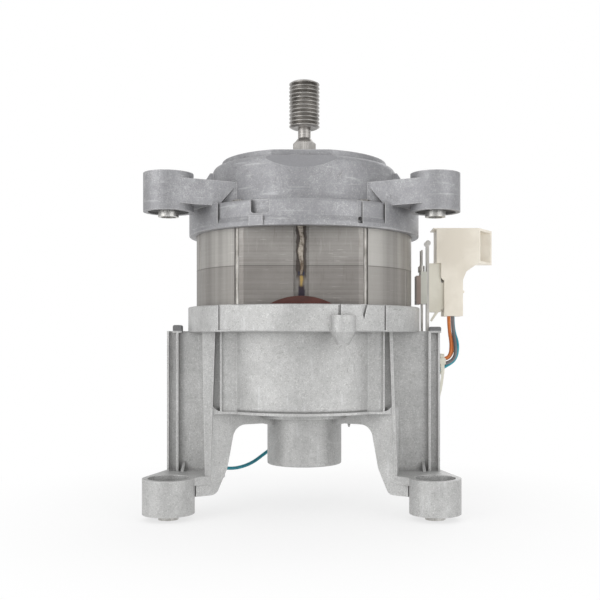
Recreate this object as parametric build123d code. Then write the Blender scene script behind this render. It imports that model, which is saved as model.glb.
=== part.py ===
from build123d import *
import math
import os

# Washing machine motor: a two-pole commutator motor with a belt pulley, held by four rubber-bushed lugs.
# Every piece is drawn about the shaft, which stands on the Z axis with the pulley up.
# The viewer's side of the motor is -Y, and the terminal housing is on +X.
# save() then sets the origin midway between the bottom faces of the two lower lug sleeves.

os.makedirs("parts", exist_ok=True)

# General clearances
overrun = 1.0
half_overrun = overrun / 2
seat_clearance = 0.1
thread_clearance = 0.25
fit_clearance = 0.05

# Mounting lugs, sleeves and bushes
lug_spacing = 150.0
lug_forward = 45.0
sleeve_length = 19.0
sleeve_radius = 5.75
sleeve_bore_radius = 4.1
sleeve_proud = 4.1
upper_sleeve_bottom = 169.7
bush_height = 14.5
bush_inset = 0.6
lug_bore_radius = 11.5
upper_lug_radius = 14.0
upper_lug_bottom = 172.4
upper_lug_top = 194.0
lower_lug_radius = 14.65
lower_lug_bottom = 3.3
lower_lug_top = 23.2

# Shaft
shaft_radius = 6.0
shaft_top = 221.3
shaft_foot_radius = 4.0
shaft_foot_bottom = 31.0
shaft_foot_top = 45.0
spigot_radius = 3.9
spigot_start = 224.0
spigot_recess = 0.8
rotor_seat_radius = 7.5
rotor_seat_bottom = 66.0
rotor_seat_top = 182.0

# Pulley
pulley_bottom = 230.0
pulley_tip_radius = 9.25
pulley_ribs = 12
rib_pitch = 2.34
rib_depth = 1.5
rib_tip_flat = 0.45

# Collar under the pulley
collar_bottom = 205.4
collar_radius = 6.94
collar_splines = 36
collar_spline_depth = 0.28
collar_chamfer = 0.8

# Bearings, both of one size
bearing_bore_radius = shaft_radius
bearing_outer_radius = 16.0
bearing_width = 10.0
bearing_inner_land_radius = 8.7
bearing_outer_land_radius = 13.3
bearing_ball_radius = 2.95
bearing_race_clearance = 0.06
bearing_ball_count = 8
wave_spring_outer_radius = 15.8
wave_spring_inner_radius = 13.6
cage_below_middle = 2.2
cage_above_middle = 4.4
cage_wall = 1.2
rear_bearing_bottom = 52.0
front_bearing_bottom = 195.0

# Stator stack
stack_radius = 65.2
stack_bottom = 115.7
stack_top = 167.7
stack_bore_radius = 32.5
stack_flat = 57.0
stack_slot_inner_radius = 36.0
stack_slot_outer_radius = 50.0
stack_slot_half_angle = 38.0
stack_mouth_half_angle = 20.0
weld_groove_middle = 0.0
weld_groove_width = 8.4
weld_groove_depth = 2.5
weld_bead_width = 5.0
weld_bead_depth = 1.7
weld_bead_bottom = 137.0
side_notch_x = 60.5
side_notch_y = 25.0
side_notch_radius = 1.3

# Field coils
coil_inner_radius = 37.0
coil_outer_radius = 47.4
coil_half_angle = 86.0
coil_window_half_angle = 55.0
coil_bottom = 104.0
coil_top = 178.5
coil_end_clearance = 1.2

# Rotor
rotor_radius = 32.0
rotor_slots = 12
rotor_slot_width = 2.6
rotor_slot_depth = 9.0
winding_height = 11.5
winding_outer_radius = 29.5
winding_inner_radius = 11.0
winding_round = 4.0
commutator_radius = 18.0
commutator_core_radius = 13.0
commutator_bottom = 70.0
commutator_top = 98.0
commutator_bars_count = 24
commutator_bar_gap = 0.7
commutator_riser_height = 3.0
commutator_riser_radius = 19.6

# Cooling fan
fan_bottom = 183.0
fan_height = 11.0
fan_radius = 47.5
fan_disc_thickness = 2.0
fan_hub_radius = 12.0
fan_blades = 12
fan_blade_thickness = 1.6

# Front bracket
front_lip_bottom = 162.5
front_lip_wall = 4.3
front_band_wall = 3.0
front_band_seat_radius = stack_radius + seat_clearance
front_lip_radius = front_band_seat_radius + front_lip_wall
front_band_radius = front_band_seat_radius + front_band_wall
front_lip_height = 2.6
front_flare_height = 3.0
front_shoulder = 177.0
front_cavity_radius = 61.0
dome_radius = 55.6
disc_top = 207.5
disc_height = 3.7
dome_top = disc_top - disc_height
dome_round = 3.6
dome_wall = 4.0
dome_shoulder_round = 1.6
disc_radius = 50.0
disc_flat = 47.0
dome_cut_height = 7.9
dome_cut_low = dome_top - dome_cut_height
dome_cut_back = 50.2
bearing_tube_wall = 4.2
front_bearing_lip = 1.5
shaft_hole_radius = 8.4
ear_arm_bottom = 176.0
ear_arm_top = 190.2
ear_arm_root_x = 37.0
ear_tangent_angle = 112.0
ear_arm_root_y = 41.0
ear_undercut_x = 46.0
ear_undercut_top = 188.6
ear_undercut_back = 42.0
gusset_drop = 4.0
gusset_top = dome_top - gusset_drop
gusset_reach = 58.0
gusset_low = 196.0
gusset_thickness = 4.0
gusset_y = -14.0
band_pad_x = 46.5
band_window_x = -21.9
band_window_width = 10.4
band_window_bottom = 169.4
band_window_depth = 3.2
band_window_round = 2.0
band_tab_x = -24.2
band_tab_width = 7.8
band_tab_height = 5.6
band_tab_proud = 0.9
band_slot_x = 32.3
band_slot_width = 2.8
band_slot_bottom = 164.2
band_slot_depth = 0.8
band_slot_hole_radius = 1.1

# Through bolts
bolt_x = 34.5
bolt_y = 53.0
bolt_radius = 2.25
bolt_bottom = 108.4
bolt_head_flats = 6.6
bolt_head_height = 3.2
bolt_head_sink = 2.2
bolt_head_clearance = 1.05

# Rear bracket: band, bowl and hub
rear_band_wall = 4.9
rear_band_radius = front_band_seat_radius + rear_band_wall
rear_band_bottom = 105.2
rear_band_top = 120.2
rear_band_floor = 3.0
rear_cavity_radius = 60.0
bowl_radius = 52.0
bowl_wall = 4.0
bowl_bottom = 58.3
bowl_round = 3.5
step_radius = 30.5
step_bottom = 54.4
hub_radius = 22.6
hub_bottom = 25.7
hub_round = 0.8
tacho_chamber_radius = 18.6
tacho_chamber_top = 50.0
rear_bearing_lip_radius = 13.0
vent_x = 46.5
vent_front_y = -24.0
vent_back_y = 23.5
vent_back_x = 40.0
vent_bottom = 70.5
vent_rib_thickness = 1.1
vent_rib_proud = 1.2
cheek_set_back = 2.0
cheek_wall = 3.0
cheek_step = 2.2
ledge_bottom = bowl_bottom
ledge_height = 1.5
ledge_proud = 1.2
ledge_corner = 6.6
vent_top = 104.6
rear_boss_x = 23.0
rear_boss_inset = 3.8
rear_boss_y = rear_boss_inset - rear_band_radius
rear_boss_radius = 7.0
rear_boss_top = 114.0
rear_boss_tip = 98.0
rear_boss_tip_radius = 3.2
rear_slit_x = 21.0
rear_slit_width = 1.5
rear_mark_depth = 1.2
rear_mark_x = 34.4
rear_mark_width = 4.4
rear_mark_bottom = 112.0
rear_pocket_inner_x = -38.5
rear_pocket_outer_x = -46.0
rear_pocket_depth = 0.7
rear_groove_width = 0.8
hub_nub_x = 27.0
hub_nub_y = -15.0
hub_nub_radius = 1.8
hub_nub_tip = 49.0
hub_nub_tip_radius = 0.45

# Rear bracket: legs
leg_outer_x = 81.0
leg_top = 106.0
leg_wall_front_y = -14.0
leg_wall = 4.5
leg_front_y = -38.0
cheek_front_y = leg_front_y + cheek_set_back
cheek_inner_x = math.sqrt(bowl_radius ** 2 - cheek_front_y ** 2) - half_overrun
leg_flange_x = 49.6
leg_flange_foot_x = 52.4
left_flange_top_width = 7.4
left_flange_foot_width = 3.2
right_flange_width = 1.8
leg_rib_x = 74.0
leg_rib_width = 1.5
leg_rib_depth = 4.0
leg_lip_width = 1.2
leg_lip_depth = 3.0
left_curl = (72.2, 77.4, 3.6)
right_curl = (74.6, 81.6, 2.6)
curl_round = 1.1
leg_floor = 4.6
leg_gusset_x = 71.3
leg_gusset_width = 1.6
leg_gusset_height = 5.5
leg_gusset_depth = 8.0
leg_floor_angle = 20.0

# Rear bracket: radial webs, drawn in their own plane
web_angle = 34.3
web_front_offset = 1.17
web_thickness = 4.6
web_root = 20.0
web_root_bottom = 49.2
web_arch_start = 29.6
web_arch_top = 51.3
web_arch_end = 48.4
web_arch_round = 8.0
web_knee = 53.5
web_knee_z = 26.6
web_knee_round = 10.0
web_foot = 60.6
web_foot_bottom = 12.0
web_foot_round = 5.0
web_end = 73.4
web_flange_end = 64.4
web_top = 62.0

# Rear bracket: shelf that carries the terminal plate
shelf_inner_x = 66.0
shelf_margin = 4.9
shelf_back_y = 19.0
shelf_thickness = 5.0

# Brush gear
brush_z = 84.0
brush_width = 6.0
brush_height = 12.0
brush_length = 22.0
brush_gap = 0.25
brush_side_clearance = 0.15
brush_box_wall = 0.8
brush_box_start = 21.0
brush_box_end = 58.0
holder_wall = 2.2
holder_start = 43.0
holder_pad_x = 52.5
holder_flange_thickness = 2.6
holder_flange_back_y = 12.8
holder_flange_half_z = 13.0
holder_flange_bottom = 60.6
holder_screw_z = 63.8
holder_screw_radius = 1.6
holder_screw_head_radius = 2.8
holder_screw_head = 2.0
holder_screw_length = 6.4
holder_cap = 1.6
brush_spring_radius = 2.4
brush_spring_wire = 0.6
brush_spring_turns = 7
brush_tab_thickness = 0.8
brush_tab_y = 11.0
brush_tab_half = 2.6

# Tacho
magnet_radius = 10.0
magnet_bottom = 32.0
magnet_top = 42.0
tacho_coil_inner = 11.4
tacho_coil_bottom = 30.5
tacho_coil_top = 44.5
tacho_cap_thickness = 2.0
tacho_cap_lip_wall = 1.4

# Insulation slips
slip_radius = 35.7
slip_top = 124.9
slip_y = 58.0
slip_thickness = 1.5

# Terminal carrier plate, from which the terminal group is placed
plate_band_gap = 4.9
plate_left = rear_band_radius + plate_band_gap
plate_thickness = 1.4

# Terminal housing
head_gap = 5.9
head_left = plate_left + head_gap
head_length = 26.0
head_right = head_left + head_length
head_flare = 10.6
head_far_right = head_right + head_flare
head_bottom = 147.8
head_top = 169.3
head_front_y = 0.0
head_depth = 17.0
head_wall = 1.5
head_lip = 2.1
head_lip_thickness = 0.8
stem_inset = 4.6
stem_left = head_left + stem_inset
stem_width = 11.5
stem_right = stem_left + stem_width
stem_bottom = 115.4
stem_wide_inset = 2.7
stem_wide_left = head_left + stem_wide_inset
stem_step = 139.0
stem_latch_reach = 9.4
stem_latch_height = 10.4
stem_latch_inset = 2.0
stem_nub_z = 130.2
stem_nub = 0.9
base_bottom = 118.0
base_inset = 1.5
strut_bottom = 112.6
strut_gap = 0.7
strut_left = plate_left + plate_thickness + strut_gap
strut_thickness = 1.0
blade_count = 4
blade_thickness = 0.8
blade_height = 5.0
blade_inset = 7.0
blade_end = head_right - blade_inset

# Terminal carrier
plate_front_y = 1.0
plate_back_y = 10.0
carrier_back_y = 14.0
plate_top = 160.2
plate_knob_radius = 1.7
inner_block_thickness = 3.7
inner_block_left = plate_left - inner_block_thickness
inner_block_bottom = 123.0
inner_block_top = 142.8
strip_thickness = 2.7
strip_bottom = 122.7
strip_top = 140.2
pin_inset = 2.8
pin_x = plate_left - pin_inset
pin_radius = 0.6
pin_top = 156.2
pin_hook_height = 3.6
pin_hook_radius = 1.7
pin_stem_radius = 0.75
pin_y_places = (4.6, 11.4)

# Leads
lead_diameter = 2.1
lead_radius = lead_diameter / 2
lead_arc_share = 0.45
tie_x = 84.4
tie_y = 2.9
tie_z = 86.0
tie_inner_width = 6.8
tie_inner_height = 11.0
tie_round = 2.6
tie_wall = 0.9
tie_band = 2.4
tie_head = 3.6
tie_head_proud = 1.2
tie_tail_width = 1.6
tie_tail_thickness = 0.9
tie_tail_bend = 9.0


def cylinder(radius, bottom, top, x=0, y=0):
    return Pos(x, y, bottom) * Cylinder(radius, top - bottom, align=(Align.CENTER, Align.CENTER, Align.MIN))


def tube(outer, inner, bottom, top, x=0, y=0):
    return cylinder(outer, bottom, top, x, y) - cylinder(inner, bottom - overrun, top + overrun, x, y)


def block(x0, x1, y0, y1, z0, z1):
    middle = Pos((x0 + x1) / 2, (y0 + y1) / 2, (z0 + z1) / 2)
    return middle * Box(abs(x1 - x0), abs(y1 - y0), abs(z1 - z0))


def outline(points):
    radii = [point[2] if len(point) > 2 else 0 for point in points]
    corners = [(point[0], point[1]) for point in points]
    if any(radii):
        return make_face(FilletPolyline(*corners, radius=radii, close=True))
    return make_face(Polyline(*corners, close=True))


def turned(points):
    return revolve(Plane.XZ * outline(points), Axis.Z)


def upright(points, y0, y1):
    # An outline in X and Z, drawn through from y0 to y1
    face = Plane.XZ.offset(-y0) * outline(points)
    return extrude(face, y0 - y1)


def level(points, z0, z1):
    return Pos(0, 0, z0) * extrude(outline(points), z1 - z0)


def sector(outer, inner, middle_angle, half_angle, bottom, top):
    reach = outer * 2
    span = [middle_angle - half_angle, middle_angle, middle_angle + half_angle]
    rim = [(reach * math.cos(math.radians(a)), reach * math.sin(math.radians(a))) for a in span]
    return tube(outer, inner, bottom, top) & level([(0, 0)] + rim, bottom - overrun, top + overrun)


def mirrored(shape):
    return mirror(shape, Plane.YZ)


def both_sides(shape):
    return [shape, mirrored(shape)]


def group(shapes):
    solids = []
    for shape in shapes:
        solids.extend(shape.solids())
    return Compound(solids)


def save(name, shape):
    export_step(Pos(0, lug_forward, 0) * shape, "parts/" + name + ".step")


# Rotor

def shaft():
    return turned([
        (0, shaft_foot_bottom),
        (shaft_foot_radius, shaft_foot_bottom),
        (shaft_foot_radius, shaft_foot_top),
        (shaft_radius, shaft_foot_top),
        (shaft_radius, rotor_seat_bottom),
        (rotor_seat_radius, rotor_seat_bottom),
        (rotor_seat_radius, rotor_seat_top),
        (shaft_radius, rotor_seat_top),
        (shaft_radius, shaft_top),
        (spigot_radius, spigot_start),
        (spigot_radius, pulley_top - spigot_recess),
        (0, pulley_top - spigot_recess),
    ])


pulley_top = pulley_bottom + pulley_ribs * rib_pitch
pulley_valley_radius = pulley_tip_radius - rib_depth


def pulley():
    points = [(spigot_radius, pulley_bottom)]
    for rib in range(pulley_ribs):
        base = pulley_bottom + rib * rib_pitch
        points.append((pulley_valley_radius, base))
        points.append((pulley_tip_radius, base + (rib_pitch - rib_tip_flat) / 2))
        points.append((pulley_tip_radius, base + (rib_pitch + rib_tip_flat) / 2))
    points.append((pulley_valley_radius, pulley_top))
    points.append((spigot_radius, pulley_top))
    return turned(points)


def shaft_collar():
    # A star of fine splines, cut to a ring and turned to a chamfer at its top
    rim = []
    for step in range(2 * collar_splines):
        radius = collar_radius - (step % 2) * collar_spline_depth
        angle = math.pi * step / collar_splines
        rim.append((radius * math.cos(angle), radius * math.sin(angle)))
    star = level(rim, collar_bottom, shaft_top)
    envelope = turned([
        (shaft_radius, collar_bottom),
        (collar_radius, collar_bottom),
        (collar_radius, shaft_top - collar_chamfer),
        (collar_radius - collar_chamfer, shaft_top),
        (shaft_radius, shaft_top),
    ])
    return star & envelope


def rotor_pack():
    pack = tube(rotor_radius, rotor_seat_radius, stack_bottom, stack_top)
    slot = block(rotor_radius - rotor_slot_depth, rotor_radius + overrun, -rotor_slot_width / 2,
                 rotor_slot_width / 2, stack_bottom - overrun, stack_top + overrun)
    for index in range(rotor_slots):
        pack -= Rot(0, 0, 360 * index / rotor_slots) * slot
    return pack


def rotor_winding(low, high, round_low):
    # Round-shouldered ring of end turns, its round edge away from the pack
    if round_low:
        points = [(winding_inner_radius, low), (winding_outer_radius, low, winding_round),
                  (winding_outer_radius, high), (winding_inner_radius, high)]
    else:
        points = [(winding_inner_radius, low), (winding_outer_radius, low),
                  (winding_outer_radius, high, winding_round), (winding_inner_radius, high)]
    return turned(points)


def winding_spacer(low, high):
    return tube(winding_inner_radius, rotor_seat_radius, low, high)


def commutator_core():
    return tube(commutator_core_radius, rotor_seat_radius, commutator_bottom, commutator_top)


def commutator_bars():
    ring = tube(commutator_radius, commutator_core_radius, commutator_bottom, commutator_top)
    riser_bottom = commutator_top - commutator_riser_height
    ring += tube(commutator_riser_radius, commutator_core_radius, riser_bottom, commutator_top)
    gap = block(commutator_core_radius - overrun, commutator_riser_radius + overrun, -commutator_bar_gap / 2,
                commutator_bar_gap / 2, commutator_bottom - overrun, commutator_top + overrun)
    for index in range(commutator_bars_count):
        ring -= Rot(0, 0, 360 * index / commutator_bars_count) * gap
    return group([ring])


def cooling_fan():
    fan_top = fan_bottom + fan_height
    fan = tube(fan_hub_radius, shaft_radius, fan_bottom, fan_top)
    fan += tube(fan_radius, shaft_radius, fan_bottom, fan_bottom + fan_disc_thickness)
    blade = block(fan_hub_radius - overrun, fan_radius - overrun, -fan_blade_thickness / 2,
                  fan_blade_thickness / 2, fan_bottom + overrun, fan_top - overrun)
    for index in range(fan_blades):
        fan += Rot(0, 0, 360 * index / fan_blades) * blade
    return fan


def tacho_magnet():
    return tube(magnet_radius, shaft_foot_radius, magnet_bottom, magnet_top)


# Bearings

def race_groove(middle):
    pitch_radius = (bearing_inner_land_radius + bearing_outer_land_radius) / 2
    return Pos(0, 0, middle) * Torus(pitch_radius, bearing_ball_radius + bearing_race_clearance)


def bearing_outer(bottom):
    ring = tube(bearing_outer_radius, bearing_outer_land_radius, bottom, bottom + bearing_width)
    return ring - race_groove(bottom + bearing_width / 2)


def bearing_inner(bottom):
    ring = tube(bearing_inner_land_radius, bearing_bore_radius, bottom, bottom + bearing_width)
    return ring - race_groove(bottom + bearing_width / 2)


def ball_places(bottom):
    pitch_radius = (bearing_inner_land_radius + bearing_outer_land_radius) / 2
    middle = bottom + bearing_width / 2
    return [Rot(0, 0, 360 * index / bearing_ball_count) * Pos(pitch_radius, 0, middle)
            for index in range(bearing_ball_count)]


def bearing_balls(bottom):
    return group([place * Sphere(bearing_ball_radius) for place in ball_places(bottom)])


def bearing_cage(bottom):
    pitch_radius = (bearing_inner_land_radius + bearing_outer_land_radius) / 2
    middle = bottom + bearing_width / 2
    cage = tube(pitch_radius + cage_wall / 2, pitch_radius - cage_wall / 2, middle - cage_below_middle,
                middle + cage_above_middle)
    for place in ball_places(bottom):
        cage -= place * Sphere(bearing_ball_radius + bearing_race_clearance)
    return cage


def bearing_wave_spring():
    # A plain ring for the thin spring over the front bearing's outer ring, at its working height
    return tube(wave_spring_outer_radius, wave_spring_inner_radius, front_bearing_bottom + bearing_width,
                disc_top - front_bearing_lip)


# Stator

def bolt_places():
    return [(x, y) for x in (-bolt_x, bolt_x) for y in (-bolt_y, bolt_y)]


def stack_half(bottom, top, notch_side):
    low = bottom - overrun
    high = top + overrun
    half = tube(stack_radius, stack_bore_radius, bottom, top)
    half &= block(-stack_radius, stack_radius, -stack_flat, stack_flat, bottom, top)
    for middle in (90, 270):
        half -= sector(stack_slot_outer_radius, stack_slot_inner_radius, middle, stack_slot_half_angle,
                       low, high)
        half -= sector(stack_slot_inner_radius + overrun, stack_bore_radius - overrun, middle,
                       stack_mouth_half_angle, low, high)
    for side in (-1, 1):
        groove_y = side * (stack_flat - weld_groove_depth)
        half -= block(weld_groove_middle - weld_groove_width / 2, weld_groove_middle + weld_groove_width / 2,
                      groove_y, side * (stack_flat + overrun), low, high)
        half -= cylinder(side_notch_radius, low, high, notch_side * side_notch_x, side * side_notch_y)
    for x, y in bolt_places():
        half -= cylinder(bolt_radius + thread_clearance, low, high, x, y)
    return half


def stator_welds():
    beads = []
    for side in (-1, 1):
        floor_y = side * (stack_flat - weld_groove_depth)
        middle = Pos(weld_groove_middle, floor_y, (weld_bead_bottom + stack_top) / 2)
        bead = middle * extrude(Ellipse(weld_bead_width / 2, weld_bead_depth),
                                (stack_top - weld_bead_bottom) / 2, both=True)
        room = block(weld_groove_middle - weld_groove_width / 2, weld_groove_middle + weld_groove_width / 2,
                     floor_y, floor_y + side * weld_groove_depth, weld_bead_bottom, stack_top)
        beads.append(bead & room)
    return group(beads)


def field_coil():
    # The coil round the pole on +X: both sides lie in the slots, and the ends pass above and below the pole
    coil = sector(coil_outer_radius, coil_inner_radius, 0, coil_half_angle, coil_bottom, coil_top)
    window = sector(coil_outer_radius + overrun, coil_inner_radius - overrun, 0, coil_window_half_angle,
                    stack_bottom - coil_end_clearance, stack_top + coil_end_clearance)
    return coil - window


def insulation_slips():
    slips = []
    for side in (-1, 1):
        disc = Rot(90, 0, 0) * Cylinder(slip_radius, slip_thickness)
        slip = Pos(0, side * (slip_y + slip_thickness / 2), slip_top - slip_radius) * disc
        room = block(-slip_radius, slip_radius, side * slip_y, side * (slip_y + slip_thickness),
                     stack_bottom, slip_top + overrun)
        slips.append(slip & room)
    return group(slips)


def through_bolts():
    bolts = []
    head_bottom = front_shoulder - bolt_head_sink
    for x, y in bolt_places():
        head = Pos(x, y, head_bottom) * extrude(RegularPolygon(bolt_head_flats / 2, 6, major_radius=False),
                                                bolt_head_height)
        bolts.append(cylinder(bolt_radius, bolt_bottom, head_bottom, x, y) + head)
    return group(bolts)


# Lugs

def lug_places():
    return [(side * lug_spacing / 2, -lug_forward) for side in (-1, 1)]


def lug_sleeves(bottom):
    return group([tube(sleeve_radius, sleeve_bore_radius, bottom, bottom + sleeve_length, x, y)
                  for x, y in lug_places()])


def lug_bushes(bottom):
    return group([tube(lug_bore_radius, sleeve_radius, bottom, bottom + bush_height, x, y)
                  for x, y in lug_places()])


# Front bracket

def ear_arm():
    # The arm to the lug on +X, thinned by a slanting undercut where it meets the dome
    lug_x = lug_spacing / 2
    tangent = math.radians(ear_tangent_angle)
    hollow = cylinder(dome_radius - dome_wall / 2, ear_arm_bottom - overrun, ear_arm_top + overrun)
    arm = level([
        (ear_arm_root_x - dome_wall, -ear_arm_root_y),
        (ear_arm_root_x, -ear_arm_root_y - half_overrun),
        (lug_x + upper_lug_radius * math.cos(tangent), -lug_forward - upper_lug_radius * math.sin(tangent)),
        (lug_x, -lug_forward),
        (lug_x + upper_lug_radius * math.cos(tangent / 2),
         -lug_forward + upper_lug_radius * math.sin(tangent / 2)),
        (dome_radius - dome_wall / 2, gusset_y),
        (ear_arm_root_x + dome_wall, gusset_y - dome_wall),
    ], ear_arm_bottom, ear_arm_top)
    undercut = upright([
        (ear_arm_root_x - 2 * dome_wall, ear_arm_bottom - overrun),
        (ear_undercut_x, ear_arm_bottom - overrun),
        (ear_undercut_x, ear_arm_bottom + overrun),
        (ear_arm_root_x, ear_undercut_top),
        (ear_arm_root_x - 2 * dome_wall, ear_undercut_top),
    ], -dome_radius, -ear_undercut_back)
    return arm - undercut - hollow


def ear_gusset():
    inner_x = disc_radius + overrun
    return upright([
        (inner_x, ear_arm_top - overrun),
        (gusset_reach, ear_arm_top - overrun),
        (gusset_reach, gusset_low),
        (dome_radius, gusset_top),
        (inner_x, gusset_top),
    ], gusset_y - gusset_thickness / 2, gusset_y + gusset_thickness / 2)


def band_skin(outer, thickness, x0, x1, z0, z1, viewer_side=True):
    # A thin curved slab of a band's outside, between two X places, on the viewer's side
    skin = tube(outer, outer - thickness, z0, z1)
    y0 = -outer - overrun if viewer_side else 0
    return skin & block(x0, x1, y0, y0 + outer + overrun, z0, z1)


def front_bracket():
    lip_top = front_lip_bottom + front_lip_height
    tube_radius = bearing_outer_radius + bearing_tube_wall
    bearing_top = front_bearing_bottom + bearing_width
    shell = turned([
        (front_band_seat_radius, front_lip_bottom),
        (front_lip_radius, front_lip_bottom, half_overrun),
        (front_lip_radius, lip_top),
        (front_band_radius, lip_top + front_flare_height),
        (front_band_radius, front_shoulder, dome_shoulder_round),
        (dome_radius, front_shoulder + dome_shoulder_round, dome_shoulder_round),
        (dome_radius, dome_top, dome_round),
        (disc_radius, dome_top),
        (disc_radius, disc_top, half_overrun),
        (shaft_hole_radius, disc_top),
        (shaft_hole_radius, disc_top - front_bearing_lip),
        (bearing_outer_radius, disc_top - front_bearing_lip),
        (bearing_outer_radius, front_bearing_bottom),
        (tube_radius, front_bearing_bottom),
        (tube_radius, dome_top - dome_wall),
        (dome_radius - dome_wall, dome_top - dome_wall, dome_round),
        (dome_radius - dome_wall, front_shoulder, dome_round),
        (front_cavity_radius, front_shoulder - dome_wall),
        (front_cavity_radius, stack_top),
        (front_band_seat_radius, stack_top),
    ])
    for x, y in lug_places():
        shell += cylinder(upper_lug_radius, upper_lug_bottom, upper_lug_top, x, y)
    for piece in both_sides(ear_arm()) + both_sides(ear_gusset()):
        shell += piece
    for x, y in lug_places():
        shell -= cylinder(lug_bore_radius, upper_lug_bottom - overrun, upper_lug_top + overrun, x, y)
    for piece in both_sides(band_skin(front_lip_radius, front_lip_radius - front_band_radius + overrun,
                                      band_pad_x, front_lip_radius, lip_top, front_shoulder)):
        shell += piece
    # The slanting cut in the dome's front edge, and the flat on the raised disc above it
    rise = dome_top - dome_cut_low
    run = dome_radius - dome_cut_back
    slant = Plane.YZ * outline([
        (-dome_radius, dome_cut_low),
        (-dome_radius + run, dome_top),
        (-dome_radius + 2 * run, dome_top + rise),
        (-dome_radius - run, dome_top + rise),
        (-dome_radius - run, dome_cut_low),
    ])
    shell -= extrude(slant, disc_radius, both=True) & block(-disc_radius, disc_radius, -2 * dome_radius, 0,
                                                            dome_cut_low - overrun, dome_top)
    shell -= block(-disc_radius, disc_radius, -disc_radius - overrun, -disc_flat, dome_top,
                   disc_top + overrun)
    # The open-topped recess in the band with a tab below it, and the narrow slot with its hole
    window = upright([
        (band_window_x - band_window_width / 2, band_window_bottom, band_window_round),
        (band_window_x + band_window_width / 2, band_window_bottom, band_window_round),
        (band_window_x + band_window_width / 2, front_shoulder + overrun),
        (band_window_x - band_window_width / 2, front_shoulder + overrun),
    ], -front_lip_radius - overrun, 0)
    shell -= window & tube(front_lip_radius + overrun, front_band_radius - band_window_depth,
                           band_window_bottom - overrun, front_shoulder + 2 * overrun)
    tab_radius = front_lip_radius + band_tab_proud
    shell += band_skin(tab_radius, tab_radius - front_band_radius + overrun,
                       band_tab_x - band_tab_width / 2, band_tab_x + band_tab_width / 2,
                       front_lip_bottom, front_lip_bottom + band_tab_height)
    slot_low = band_slot_x - band_slot_width / 2
    slot_high = band_slot_x + band_slot_width / 2
    shell -= band_skin(front_lip_radius + overrun, front_lip_radius + overrun - front_band_radius
                       + band_slot_depth, slot_low, slot_high, band_slot_bottom, front_shoulder + overrun)
    hole_y = -math.sqrt(front_band_radius ** 2 - band_slot_x ** 2)
    hole = Rot(90, 0, 0) * Cylinder(band_slot_hole_radius, band_window_depth * 2)
    shell -= Pos(band_slot_x, hole_y, band_slot_bottom + band_slot_width) * hole
    for x, y in bolt_places():
        shell -= cylinder(bolt_radius + thread_clearance, front_lip_bottom - overrun, front_shoulder, x, y)
        shell -= cylinder(bolt_head_flats / 2 + bolt_head_clearance,
                          front_shoulder - bolt_head_sink, front_shoulder + 2 * overrun, x, y)
    return shell


# Rear bracket

def leg(flange_top_width, flange_foot_width, curl):
    # The leg on +X: a back wall with ribs, an inner flange that narrows downwards, and the foot's floor
    wall_back_y = leg_wall_front_y + leg_wall
    floor_bottom = lower_lug_top - leg_floor
    lug_x = lug_spacing / 2
    shape = block(vent_x + overrun, leg_outer_x, leg_wall_front_y, wall_back_y, floor_bottom, leg_top)
    shape += block(leg_rib_x, leg_rib_x + leg_rib_width, leg_wall_front_y - leg_rib_depth, leg_wall_front_y,
                   floor_bottom, leg_top)
    shape += block(leg_outer_x - leg_lip_width, leg_outer_x, leg_wall_front_y - leg_lip_depth,
                   leg_wall_front_y, floor_bottom, leg_top)
    curl_inner_x, curl_outer_x, curl_height = curl
    shape += upright([
        (curl_inner_x, leg_top - overrun),
        (curl_inner_x, leg_top + curl_height, curl_round),
        (curl_outer_x, leg_top + curl_height, curl_round),
        (curl_outer_x, leg_top - overrun),
    ], leg_wall_front_y - leg_rib_depth, leg_wall_front_y + leg_rib_width)
    shape += upright([
        (leg_flange_x, rear_band_bottom + overrun),
        (leg_flange_foot_x, lower_lug_top - overrun),
        (leg_flange_foot_x + flange_foot_width, lower_lug_top - overrun),
        (leg_flange_x + flange_top_width, rear_band_bottom + overrun),
    ], leg_front_y, leg_wall_front_y + overrun)
    angle = math.radians(leg_floor_angle)
    shape += level([
        (leg_flange_foot_x, wall_back_y),
        (leg_outer_x, wall_back_y),
        (lug_x + lower_lug_radius * math.cos(angle), -lug_forward + lower_lug_radius * math.sin(angle)),
        (lug_x, -lug_forward),
        (lug_x - lower_lug_radius, -lug_forward),
        (leg_flange_foot_x, leg_front_y),
    ], floor_bottom, lower_lug_top)
    shape += Plane.YZ.offset(leg_gusset_x - leg_gusset_width / 2) * extrude(outline([
        (leg_wall_front_y + overrun, lower_lug_top - overrun),
        (leg_wall_front_y - leg_gusset_depth, lower_lug_top - overrun),
        (leg_wall_front_y - leg_gusset_depth, lower_lug_top),
        (leg_wall_front_y, lower_lug_top + leg_gusset_height),
        (leg_wall_front_y + overrun, lower_lug_top + leg_gusset_height),
    ]), leg_gusset_width)
    return shape


def web():
    # The radial web to the lug on +X, drawn upright along X and swung to its angle about the shaft
    plate = upright([
        (web_root, web_top),
        (web_root, web_root_bottom),
        (web_arch_start, web_arch_top, web_arch_round / 2),
        (web_arch_end, web_arch_top, web_arch_round),
        (web_knee, web_knee_z, web_knee_round),
        (web_foot, web_foot_bottom, web_foot_round),
        (web_end, web_foot_bottom),
        (web_end, lower_lug_top - overrun),
        (web_flange_end, lower_lug_top - overrun),
        (web_flange_end, web_top),
    ], -web_front_offset, web_thickness - web_front_offset)
    return Rot(0, 0, -web_angle) * plate


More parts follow.
